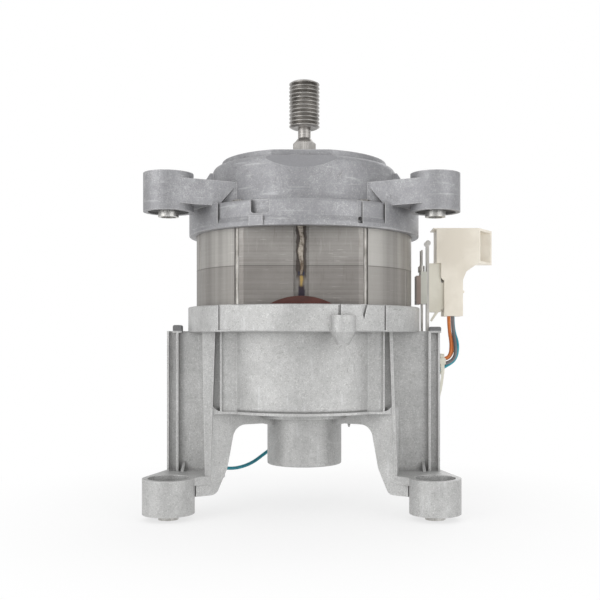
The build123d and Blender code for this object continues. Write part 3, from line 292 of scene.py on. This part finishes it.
# The weld's burn in the groove: its colours, reach from the shaft, wander, widths and heights along the stack
BURN_BROWN = linear(56, 46, 40)
STRAW_EDGE = linear(98, 84, 66)
STRAW = linear(186, 156, 88)
BURN_BLUE = linear(40, 52, 84)
SCORCH = linear(36, 26, 44)
BURN_WANDER = 0.0022
GROOVE_REACH = (0.0530, 0.0540)
BURN_HALF_WIDTH = (0.0032, 0.0024)
TINT_HALF_WIDTH = (0.0024, 0.0010)
STRAW_HALF_WIDTH = (0.0012, 0.0003)
BURN_BOTTOM = (0.1330, 0.1370)
STRAW_HEIGHTS = (0.1275, 0.1310, 0.1350, 0.1400)
BLUE_HEIGHTS = (0.1358, 0.1368, 0.1380, 0.1390)
SCORCH_TOP = (0.1318, 0.1296)


def heat_tint(tree, tone, axes):
    """The straw and dark blue burn that the weld leaves in both grooves, below and beside the bead."""
    wander = tree.times(tree.math("SUBTRACT", tree.noise(210.0, 3.0, 0.6), 0.5), BURN_WANDER)
    across = tree.math("ADD", tree.math("ABSOLUTE", axes[0]), wander)
    outside = tree.band(tree.off(axes[1], SHAFT_Y), *GROOVE_REACH)
    beside = tree.times(tree.band(across, *BURN_HALF_WIDTH), outside)
    near = tree.times(tree.band(across, *TINT_HALF_WIDTH), outside)
    core = tree.times(tree.band(across, *STRAW_HALF_WIDTH), outside)
    straw = tree.span(axes[2], *STRAW_HEIGHTS)
    burn = tree.times(beside, tree.band(axes[2], *BURN_BOTTOM))
    blue = tree.times(near, tree.span(axes[2], *BLUE_HEIGHTS))
    scorch = tree.times(near, tree.band(axes[2], *SCORCH_TOP))
    tone = tree.mix(tree.times(burn, 0.82), tone, BURN_BROWN)
    tone = tree.mix(tree.times(tree.times(near, straw), 0.6), tone, STRAW_EDGE)
    tone = tree.mix(tree.times(tree.times(core, straw), 0.8), tone, STRAW)
    tone = tree.mix(tree.times(blue, 0.7), tone, BURN_BLUE)
    return tree.mix(tree.times(scorch, 0.92), tone, SCORCH)


# The stack: its sheet thickness, the seam between its halves, the top of the painted shade on the lower half,
# and where its flats meet its round sides
SHEET_PITCH = 0.00065
SEAM_HEIGHT = 0.1417
SHADED_LOWER_HALF_TOP = (0.14172, 0.14166)
ROUND_START = (0.0345, 0.0355)
FLAT_RIM = 0.0352
# Half the width of the dark line there and of the seam, and how soft each is
RIM_LINE = (0.0004, 0.0008)
SEAM_LINE = (0.00025, 0.0004)
SHEET_DEPTH = 0.0001


def sheet_lines(tree, axes):
    """Each sheet's own shade, and a groove between it and the next, 0 to 1."""
    place = tree.math("DIVIDE", axes[2], SHEET_PITCH)
    shade = tree.add("ShaderNodeTexWhiteNoise", noise_dimensions="1D")
    tree.wire(tree.math("FLOOR", place), shade.inputs["W"])
    groove = tree.band(tree.off(tree.math("FRACT", place), 0.5), 0.34, 0.5)
    return shade.outputs["Value"], groove


def laminated(name):
    """Stacked sheet edges: fine level lines, each sheet a little lighter or darker, painted shade on the
    lower half and painted sheen on the round sides.
    """
    tree = Tree(name)
    axes = tree.split()
    shade, groove = sheet_lines(tree, axes)
    cloud = tree.noise(36.0, 5.0, 0.65)
    streak = tree.noise(420.0, 5.0, 0.65, tree.scaled((1.0, 1.0, 0.13)))
    broken = tree.noise(700.0, 3.0, 0.6, tree.scaled((0.12, 0.12, 1.0)))
    tone = tree.mix(tree.times(shade, 0.55), linear(138, 134, 130), linear(163, 160, 156))
    tone = tree.mix(tree.band(cloud, 0.36, 0.68, 0.0, 0.35), tone, linear(178, 175, 171))
    depth = tree.times(groove, tree.band(broken, 0.35, 0.65, 0.04, 0.28))
    tone = tree.mix(depth, tone, linear(92, 88, 84))
    scratch = tree.noise(1500.0, 3.0, 0.6, tree.scaled((0.05, 0.05, 1.0)))
    tone = tree.mix(tree.band(scratch, 0.63, 0.72, 0.0, 0.6), tone, linear(206, 203, 198))
    tone = tree.mix(tree.band(streak, 0.56, 0.72, 0.0, 0.28), tone, linear(196, 194, 190))
    tone = tree.mix(tree.band(streak, 0.44, 0.30, 0.0, 0.3), tone, linear(112, 104, 96))
    aside = tree.math("ABSOLUTE", axes[0])
    # Painted sheen: a lighter streaked tone on the round sides of the stack
    sheen_streaks = tree.noise(75.0, 5.0, 0.55, tree.scaled((1.0, 1.0, 0.02)))
    sheen = tree.mix(tree.band(sheen_streaks, 0.34, 0.66), linear(150, 147, 143), linear(202, 200, 195))
    tone = tree.mix(tree.times(tree.band(aside, *ROUND_START), 0.62), tone, sheen)
    rim = tree.band(tree.off(aside, FLAT_RIM), *RIM_LINE, 0.55, 0.0)
    tone = tree.mix(rim, tone, linear(98, 94, 90))
    # Painted shade: the lower half of the stack darker
    tone = tree.mix(tree.times(tree.band(axes[2], *SHADED_LOWER_HALF_TOP), 0.36), tone, linear(100, 94, 90))
    seam = tree.band(tree.off(axes[2], SEAM_HEIGHT), *SEAM_LINE, 0.5, 0.0)
    tone = tree.mix(seam, tone, linear(74, 70, 66))
    tone = heat_tint(tree, tone, axes)
    normal = tree.bump(tree.math("SUBTRACT", 1.0, groove), 0.3, SHEET_DEPTH)
    return tree.set(tone, tree.band(streak, 0.3, 0.7, 0.36, 0.52), 0.6, normal)


# The bead's ripples in radians to the metre, their depth and that of its lumps, and where its foot darkens
WELD_RIPPLES = 4200.0
WELD_RIPPLE_DEPTH = 0.00012
WELD_LUMP_DEPTH = 0.0003
WELD_FOOT = (0.1470, 0.1400)


def weld_metal(name):
    """The weld bead: rippled, brown-grey, darker and browner at its foot."""
    tree = Tree(name)
    axes = tree.split()
    ripple = tree.math("SINE", tree.times(axes[2], WELD_RIPPLES))
    wander = tree.noise(420.0, 5.0, 0.65)
    tone = tree.mix(tree.band(wander, 0.34, 0.62), linear(98, 88, 78), linear(172, 164, 153))
    tone = tree.mix(tree.band(axes[2], *WELD_FOOT, 0.0, 0.6), tone, linear(96, 74, 52))
    normal = tree.bump(wander, 0.4, WELD_LUMP_DEPTH, tree.bump(ripple, 0.25, WELD_RIPPLE_DEPTH))
    return tree.set(tone, tree.band(wander, 0.3, 0.7, 0.34, 0.5), 0.5, normal)


# How the marks are stretched: along the shaft's line, or round it
ALONG = (1.0, 1.0, 0.08)
ROUND_SHAFT = (0.05, 0.05, 1.0)
# How far the lighter edges reach on steel and plastic, and how deep the tool marks and the copper turns are
FINE_EDGE = 0.0004
MARK_DEPTH = 0.00006
TURN_DEPTH = 0.0002


def machined(name, light, dark, stretch, roughness, metallic=0.85, rust=0.0):
    """Turned or drawn steel with fine marks along the way that it was worked."""
    tree = Tree(name)
    marks = tree.noise(1400.0, 3.0, 0.6, tree.scaled(stretch))
    cloud = tree.noise(70.0, 4.0, 0.6)
    tone = tree.mix(tree.band(cloud, 0.35, 0.65), dark, light)
    tone = tree.mix(tree.band(marks, 0.45, 0.7, 0.0, 0.4), tone, linear(225, 223, 220))
    spot = tree.noise(240.0, 5.0, 0.7)
    tone = tree.mix(tree.band(spot, 0.62, 0.72, 0.0, rust), tone, linear(122, 98, 78))
    tone = tree.mix(tree.times(tree.edges(FINE_EDGE), 0.4), tone, linear(236, 234, 230))
    return tree.set(tone, tree.band(marks, 0.3, 0.7, roughness - 0.06, roughness + 0.08), metallic,
                    tree.bump(marks, 0.25, MARK_DEPTH))


def moulded(name, light, dark, roughness, grain=900.0, depth=0.00004, edge=0.35, speck=0.0):
    """Moulded plastic: faint cloud, fine spark-eroded grain, lighter edges."""
    tree = Tree(name)
    cloud = tree.noise(60.0, 4.0, 0.5)
    fine = tree.noise(grain, 3.0, 0.6)
    tone = tree.mix(tree.band(cloud, 0.35, 0.65), dark, light)
    dirt = tree.noise(160.0, 6.0, 0.7)
    tone = tree.mix(tree.band(dirt, 0.62, 0.78, 0.0, speck), tone, linear(120, 112, 96))
    tone = tree.mix(tree.times(tree.edges(FINE_EDGE), edge), tone, light)
    return tree.set(tone, tree.band(fine, 0.3, 0.7, roughness - 0.06, roughness + 0.06), 0.0,
                    tree.bump(fine, 0.3, depth))


def wound(name, light, dark, pitch):
    """Enamelled copper turns lying side by side round the coil."""
    tree = Tree(name)
    axes = tree.split()
    line = tree.math("SINE", tree.times(axes[2], 2 * math.pi / pitch))
    wander = tree.noise(120.0, 3.0, 0.5)
    tone = tree.mix(tree.band(line, -0.9, 0.5), dark, light)
    tone = tree.mix(tree.band(wander, 0.4, 0.7, 0.0, 0.4), tone, dark)
    return tree.set(tone, 0.32, 0.6, tree.bump(line, 0.7, TURN_DEPTH))


# The upper casting's smears run level, the lower one's upright
CAST_FRONT = cast_metal("cast_front", linear(168, 168, 171), linear(140, 140, 143), grain_depth=0.00012,
                        stain=0.3, smear=(0.09, 0.09, 1.0), grit_share=0.26)
CAST_REAR = cast_metal("cast_rear", linear(200, 200, 199), linear(172, 172, 171), grain_depth=0.00014,
                       stain=0.2, smear=(1.0, 1.0, 0.10), grit_share=0.5)
LAMINATION = laminated("lamination")
WELD = weld_metal("weld")
BOLT = machined("bolt_steel", linear(158, 155, 150), linear(118, 115, 110), ALONG, 0.34, rust=0.3)
SLEEVE = machined("sleeve_steel", linear(212, 211, 208), linear(176, 174, 170), ALONG, 0.32, rust=0.35)
SHAFT = machined("shaft_steel", linear(176, 172, 168), linear(132, 128, 124), (0.08, 0.08, 1.0), 0.3,
                 rust=0.15)
COLLAR = machined("collar_steel", linear(178, 175, 171), linear(150, 147, 143), (1.0, 1.0, 0.05), 0.52,
                  metallic=0.45, rust=0.1)
PULLEY = machined("pulley_steel", linear(164, 161, 157), linear(116, 113, 109), ROUND_SHAFT, 0.34, rust=0.2)
BEARING = machined("bearing_steel", linear(215, 215, 216), linear(190, 190, 192), ROUND_SHAFT, 0.18,
                   metallic=0.95)
PLATE = machined("plate_steel", linear(214, 212, 207), linear(184, 181, 175), (1.0, 1.0, 0.1), 0.36,
                 metallic=0.75, rust=0.2)
SPRING = machined("spring_steel", linear(188, 188, 188), linear(150, 150, 150), (1.0, 1.0, 1.0), 0.3)
COMMUTATOR = machined("commutator_copper", linear(208, 142, 100), linear(160, 98, 64), ROUND_SHAFT, 0.28)
BRASS = machined("brass", linear(214, 184, 120), linear(178, 146, 84), (1.0, 0.1, 1.0), 0.3)
COPPER = wound("copper", linear(198, 116, 70), linear(120, 58, 34), pitch=0.0009)
RUBBER = moulded("bush_rubber", linear(58, 58, 58), linear(36, 36, 36), 0.72, grain=500.0, depth=0.0001,
                  edge=0.25, speck=0.3)
RESIN = moulded("brown_resin", linear(96, 62, 44), linear(62, 36, 24), 0.46, grain=700.0)
FAN = moulded("fan_plastic", linear(62, 62, 64), linear(42, 42, 44), 0.5)
FIBRE = moulded("fibre", linear(98, 50, 40), linear(70, 34, 27), 0.55, grain=1200.0, depth=0.00008)
CARBON = moulded("carbon", linear(62, 62, 64), linear(40, 40, 42), 0.6, grain=1500.0)
FERRITE = moulded("ferrite", linear(74, 74, 76), linear(52, 52, 54), 0.42)
CAGE = moulded("cage_plastic", linear(206, 198, 172), linear(182, 172, 144), 0.4)
IVORY = moulded("terminal_ivory", linear(242, 235, 221), linear(230, 222, 207), 0.42, grain=1100.0,
                depth=0.00003, edge=0.4, speck=0.12)
IVORY_BASE = moulded("terminal_base_ivory", linear(232, 228, 214), linear(218, 213, 198), 0.46, grain=1100.0)
PALE_BLOCK = moulded("pale_block", linear(206, 206, 196), linear(184, 184, 174), 0.5, grain=1100.0)
STRIP = moulded("phenolic", linear(158, 142, 134), linear(136, 120, 112), 0.5, grain=800.0)
TIE = moulded("tie_cream", linear(243, 241, 228), linear(232, 229, 212), 0.34)


def lead_colour(name, colour, darker):
    return moulded(name, colour, darker, 0.4, grain=2500.0, depth=0.00002, edge=0.0, speck=0.06)


ORANGE = lead_colour("lead_orange", linear(226, 132, 66), linear(206, 112, 50))
GREY = lead_colour("lead_grey", linear(128, 128, 130), linear(104, 104, 108))
BLUE = lead_colour("lead_blue", linear(52, 160, 176), linear(38, 140, 158))

# Each material and the CAD pieces that wear it
FINISH = (
    (CAST_FRONT, "front_bracket"),
    (CAST_REAR, "rear_bracket"),
    (LAMINATION, "stator_pack_upper stator_pack_lower rotor_pack"),
    (WELD, "stator_welds"),
    (COPPER, "field_coil_left field_coil_right rotor_winding_lower rotor_winding_upper"),
    (FIBRE, "insulation_slips"),
    (BOLT, "through_bolts brush_holder_screws"),
    (SLEEVE, "lug_sleeves_lower lug_sleeves_upper"),
    (RUBBER, "lug_bushes_lower lug_bushes_upper"),
    (BEARING, "front_bearing_outer_ring rear_bearing_outer_ring front_bearing_inner_ring"),
    (BEARING, "rear_bearing_inner_ring front_bearing_balls rear_bearing_balls"),
    (CAGE, "front_bearing_cage rear_bearing_cage"),
    (SPRING, "bearing_wave_spring brush_spring_left brush_spring_right"),
    (RESIN, "tacho_coil brush_holder_left brush_holder_right brush_cap_left brush_cap_right commutator_core"),
    (FAN, "tacho_cap cooling_fan"),
    (FERRITE, "tacho_magnet"),
    (BRASS, "brush_box_left brush_box_right terminal_blades"),
    (CARBON, "carbon_brush_left carbon_brush_right"),
    (IVORY, "terminal_housing"),
    (IVORY_BASE, "terminal_base"),
    (PLATE, "terminal_plate terminal_pins"),
    (PALE_BLOCK, "terminal_inner_block"),
    (STRIP, "phenolic_strip"),
    (TIE, "cable_tie"),
    (SHAFT, "shaft"),
    (PULLEY, "pulley"),
    (COLLAR, "shaft_collar"),
    (COMMUTATOR, "commutator_bars"),
)


def dress(obj, material):
    obj.data.materials.clear()
    obj.data.materials.append(material)


for finish, wearers in FINISH:
    for wearer in wearers.split():
        dress(nodes[wearer], finish)


# Leads: the routes of the CAD model, in millimetres as there, with y from the shaft

LEAD_DIAMETER = 0.0021


def place_in_metres(point):
    """A point of a lead's route as a place in the frame."""
    x, y, z = point
    return (x * MM, y * MM + SHAFT_Y, z * MM)


def lead(name, node, material, points):
    curve = bpy.data.curves.new(name, "CURVE")
    curve.dimensions = "3D"
    curve.bevel_depth = LEAD_DIAMETER / 2
    curve.bevel_resolution = 5
    curve.use_fill_caps = True
    spline = curve.splines.new("NURBS")
    spline.points.add(len(points) - 1)
    for spot, point in zip(spline.points, points):
        spot.co = (*place_in_metres(point), 1.0)
    spline.order_u = 3
    spline.use_endpoint_u = True
    spline.resolution_u = 12
    obj = bpy.data.objects.new(name, curve)
    bpy.context.scene.collection.objects.link(obj)
    dress(obj, material)
    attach(obj, "motor_frame")
    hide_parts(node)


lead("orange_lead_a", "lead_orange_a", ORANGE, [
    (89.1, 4.6, 115.4), (89.1, 4.6, 107.0), (90.4, 2.8, 98.2), (89.4, 1.7, 90.4), (84.2, 1.6, 88.8),
    (75.5, 4.2, 89.4), (67.0, 11.0, 90.2), (58.5, 15.0, 90.4), (49.4, 15.0, 91.4), (42.0, 14.8, 96.2),
    (42.0, 14.8, 104.0)])
lead("orange_lead_b", "lead_orange_b", ORANGE, [
    (89.3, 7.6, 115.4), (89.3, 7.6, 106.6), (92.1, 5.9, 97.0), (89.8, 4.5, 89.8), (84.0, 4.3, 88.6),
    (76.0, 8.0, 86.9), (69.0, 14.4, 88.0), (60.0, 18.6, 89.6), (50.4, 18.6, 91.4), (42.0, 18.2, 96.2),
    (42.0, 18.2, 104.0)])
lead("grey_lead", "lead_grey", GREY, [
    (91.3, 4.4, 115.4), (91.3, 4.4, 107.6), (92.8, 2.2, 98.0), (92.6, 1.5, 89.4), (86.2, 1.5, 85.8),
    (77.5, 3.2, 85.8), (68.6, 11.0, 84.0), (58.0, 11.0, 84.0)])
lead("blue_lead", "lead_blue", BLUE, [
    (91.9, 7.5, 115.4), (91.9, 7.5, 107.2), (95.0, 5.7, 98.2), (93.4, 4.5, 88.6), (86.8, 4.3, 84.4),
    (79.6, 4.6, 80.6), (72.5, 7.0, 71.6), (66.0, 13.0, 59.4), (51.0, 22.4, 51.8), (32.0, 30.6, 52.2),
    (12.0, 32.6, 48.0), (-4.0, 31.0, 41.6), (-16.0, 27.0, 35.4), (-25.4, 22.0, 29.0), (-34.6, 17.5, 22.2),
    (-46.5, 13.0, 19.6), (-57.5, 9.5, 23.0), (-66.0, 7.0, 34.0), (-71.0, 7.5, 50.0), (-73.0, 9.4, 65.0),
    (-72.6, 11.0, 77.0), (-66.0, 11.0, 84.0), (-58.0, 11.0, 84.0)])


# Weld beads: a wandering, rippled run of weld in each groove, in place of the plain one

WELD_TOP = 0.1677
WELD_BOTTOM = 0.1365
WELD_FLOOR = 0.0545
WELD_ROWS = 90
WELD_STEPS = 10
# How far the bead wanders to the sides, and by how much each row strays from that
WELD_WANDER = 0.00045
WELD_STRAY = 0.00006
# Half the bead's width and its height: what is there all along, and what the wide upper end adds
WELD_HALF = 0.0008
WELD_HALF_ADDED = 0.0012
WELD_HALF_SWAY = 0.0005
WELD_PROUD = 0.0006
WELD_PROUD_ADDED = 0.0008
WELD_TAPER_POWER = 0.6
# Waves over the bead's length, in radians: its wander, its swelling and its ripples, with the ripples' share
WANDER_WAVES = 13.0
SWELL_WAVES = 10.5
RIPPLE_WAVES = 150.0
RIPPLE_SHARE = 0.08
# The bead's last row, where it runs out
WELD_END_HALF = 0.0002
WELD_END_PROUD = 0.0001


def weld_row(row, side):
    """One row of points across the bead, from the bead's top down to its end."""
    share = row / WELD_ROWS
    z = WELD_TOP - share * (WELD_TOP - WELD_BOTTOM)
    taper = (1 - share) ** WELD_TAPER_POWER
    middle = side * WELD_WANDER * math.sin(share * WANDER_WAVES) + random.uniform(-WELD_STRAY, WELD_STRAY)
    half = WELD_HALF + WELD_HALF_ADDED * taper + WELD_HALF_SWAY * math.cos(share * SWELL_WAVES) * taper
    proud = (WELD_PROUD + WELD_PROUD_ADDED * taper) * (1 + RIPPLE_SHARE * math.sin(share * RIPPLE_WAVES))
    if row == WELD_ROWS:
        half = WELD_END_HALF
        proud = WELD_END_PROUD
    points = []
    for step in range(WELD_STEPS + 1):
        angle = math.pi * step / WELD_STEPS
        out = WELD_FLOOR + proud * math.sin(angle)
        points.append((middle - half * math.cos(angle), SHAFT_Y + side * out, z))
    return points


def face_outwards(mesh):
    work = bmesh.new()
    work.from_mesh(mesh)
    bmesh.ops.recalc_face_normals(work, faces=work.faces)
    work.to_mesh(mesh)
    work.free()


def weld_bead(name, side):
    points = []
    faces = []
    for row in range(WELD_ROWS + 1):
        points += weld_row(row, side)
    width = WELD_STEPS + 1
    for row in range(WELD_ROWS):
        for step in range(WELD_STEPS):
            corner = row * width + step
            faces.append((corner, corner + 1, corner + 1 + width, corner + width))
    faces.append(tuple(range(width)))
    mesh = bpy.data.meshes.new(name)
    mesh.from_pydata(points, [], faces)
    for polygon in mesh.polygons:
        polygon.use_smooth = True
    face_outwards(mesh)
    obj = bpy.data.objects.new(name, mesh)
    bpy.context.scene.collection.objects.link(obj)
    dress(obj, WELD)
    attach(obj, "motor_frame")
    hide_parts("stator_welds")


for bead_name, bead_side in (("weld_bead_front", -1), ("weld_bead_back", 1)):
    weld_bead(bead_name, bead_side)


# Smooth shading on the carried-over solids, with edges kept where faces meet at more degrees than this

SHARP_ANGLE = 28


def shade_solids():
    for obj in nodes.values():
        mesh = obj.data
        for polygon in mesh.polygons:
            polygon.use_smooth = True
        mesh.set_sharp_from_angle(angle=math.radians(SHARP_ANGLE))


shade_solids()


# Floor, backdrop, light and camera

# Share of plain white that the floor near the feet shows, so that only a faint shadow is left
NEAR_WHITE = 0.72
# How far from the shaft the floor starts to turn plain white, and where it is
SHADOW_REACH = (0.10, 0.24)
FLOOR_HALF = 4.0


def make_floor():
    """A pale floor that keeps the shadow near the object and shows plain white further out."""
    mesh = bpy.data.meshes.new("floor")
    corners = [(-1, -1), (1, -1), (1, 1), (-1, 1)]
    mesh.from_pydata([(x * FLOOR_HALF, y * FLOOR_HALF, 0) for x, y in corners], [], [(0, 1, 2, 3)])
    floor = bpy.data.objects.new("floor", mesh)
    bpy.context.scene.collection.objects.link(floor)
    tree = Tree("floor")
    tree.set((0.9, 0.9, 0.9, 1.0), 0.9, 0.0, specular=0.0)
    away = tree.add("ShaderNodeVectorMath", operation="DISTANCE")
    tree.wire(tree.position, away.inputs[0])
    away.inputs[1].default_value = (0.0, SHAFT_Y, 0.0)
    far = tree.band(away.outputs["Value"], *SHADOW_REACH)
    rays = tree.add("ShaderNodeLightPath")
    seen = tree.math("MAXIMUM", rays.outputs["Is Camera Ray"], rays.outputs["Is Glossy Ray"])
    seen = tree.math("MAXIMUM", seen, rays.outputs["Is Transmission Ray"])
    glow = tree.add("ShaderNodeEmission")
    glow.inputs["Color"].default_value = WHITE
    blend = tree.add("ShaderNodeMixShader")
    shown = tree.band(far, 0.0, 1.0, NEAR_WHITE, 1.0, smooth=False)
    tree.wire(tree.times(seen, shown), blend.inputs[0])
    tree.links.new(tree.shader.outputs[0], blend.inputs[1])
    tree.links.new(glow.outputs[0], blend.inputs[2])
    output = next(node for node in tree.nodes if node.type == "OUTPUT_MATERIAL")
    tree.links.new(blend.outputs[0], output.inputs["Surface"])
    dress(floor, tree.material)


make_floor()

# The white world's strength as light, while the camera sees it as plain white
WORLD_LIGHT = 0.68


def make_world():
    world = bpy.data.worlds.new("studio")
    bpy.context.scene.world = world
    world.use_nodes = True
    world_nodes = world.node_tree.nodes
    world_links = world.node_tree.links
    background = world_nodes["Background"]
    background.inputs["Color"].default_value = WHITE
    paths = world_nodes.new("ShaderNodeLightPath")
    seen_by_camera = world_nodes.new("ShaderNodeMath")
    seen_by_camera.operation = "MAXIMUM"
    world_links.new(paths.outputs["Is Camera Ray"], seen_by_camera.inputs[0])
    world_links.new(paths.outputs["Is Transmission Ray"], seen_by_camera.inputs[1])
    strength = world_nodes.new("ShaderNodeMapRange")
    strength.inputs["To Min"].default_value = WORLD_LIGHT
    strength.inputs["To Max"].default_value = 1.0
    world_links.new(seen_by_camera.outputs[0], strength.inputs["Value"])
    world_links.new(strength.outputs["Result"], background.inputs["Strength"])


make_world()

# What the lights face
MIDDLE = (0.0, SHAFT_Y, 0.13)


def area_light(name, place, size, watts):
    light = bpy.data.lights.new(name, "AREA")
    light.shape = "RECTANGLE"
    light.size = size[0]
    light.size_y = size[1]
    light.energy = watts
    obj = bpy.data.objects.new(name, light)
    bpy.context.scene.collection.objects.link(obj)
    obj.location = place
    direction = Vector(MIDDLE) - Vector(place)
    obj.rotation_euler = direction.to_track_quat("-Z", "Y").to_euler()


area_light("key", (-0.75, -0.75, 0.85), (0.8, 0.8), 2.5)
area_light("low_left", (-0.85, -0.65, 0.10), (0.9, 0.6), 3.4)
area_light("low_right", (0.75, -0.85, 0.02), (0.9, 0.5), 2.6)
area_light("fill", (0.85, -0.6, 0.45), (0.9, 0.9), 1.6)
area_light("top", (0.0, 0.1, 1.1), (0.9, 0.9), 1.6)
area_light("back", (0.3, 0.9, 0.6), (0.8, 0.8), 2.4)

# The camera that fits the photo: level, this far in front of the shaft, a little to the right
CAMERA_DISTANCE = 0.551
CAMERA_PLACE = (0.0175, SHAFT_Y - CAMERA_DISTANCE, 0.1007)
CAMERA_SHIFT = (-0.055, 0.0667)
CAMERA_LENS = 54.0

camera_data = bpy.data.cameras.new("camera")
camera_data.sensor_width = 36.0
camera_data.lens = CAMERA_LENS
camera_data.clip_start = 0.01
camera = bpy.data.objects.new("camera", camera_data)
bpy.context.scene.collection.objects.link(camera)
camera.location = CAMERA_PLACE
camera.rotation_euler = (math.radians(90.0), 0.0, 0.0)
camera_data.shift_x, camera_data.shift_y = CAMERA_SHIFT
bpy.context.scene.camera = camera
bpy.context.scene.view_settings.view_transform = "Standard"
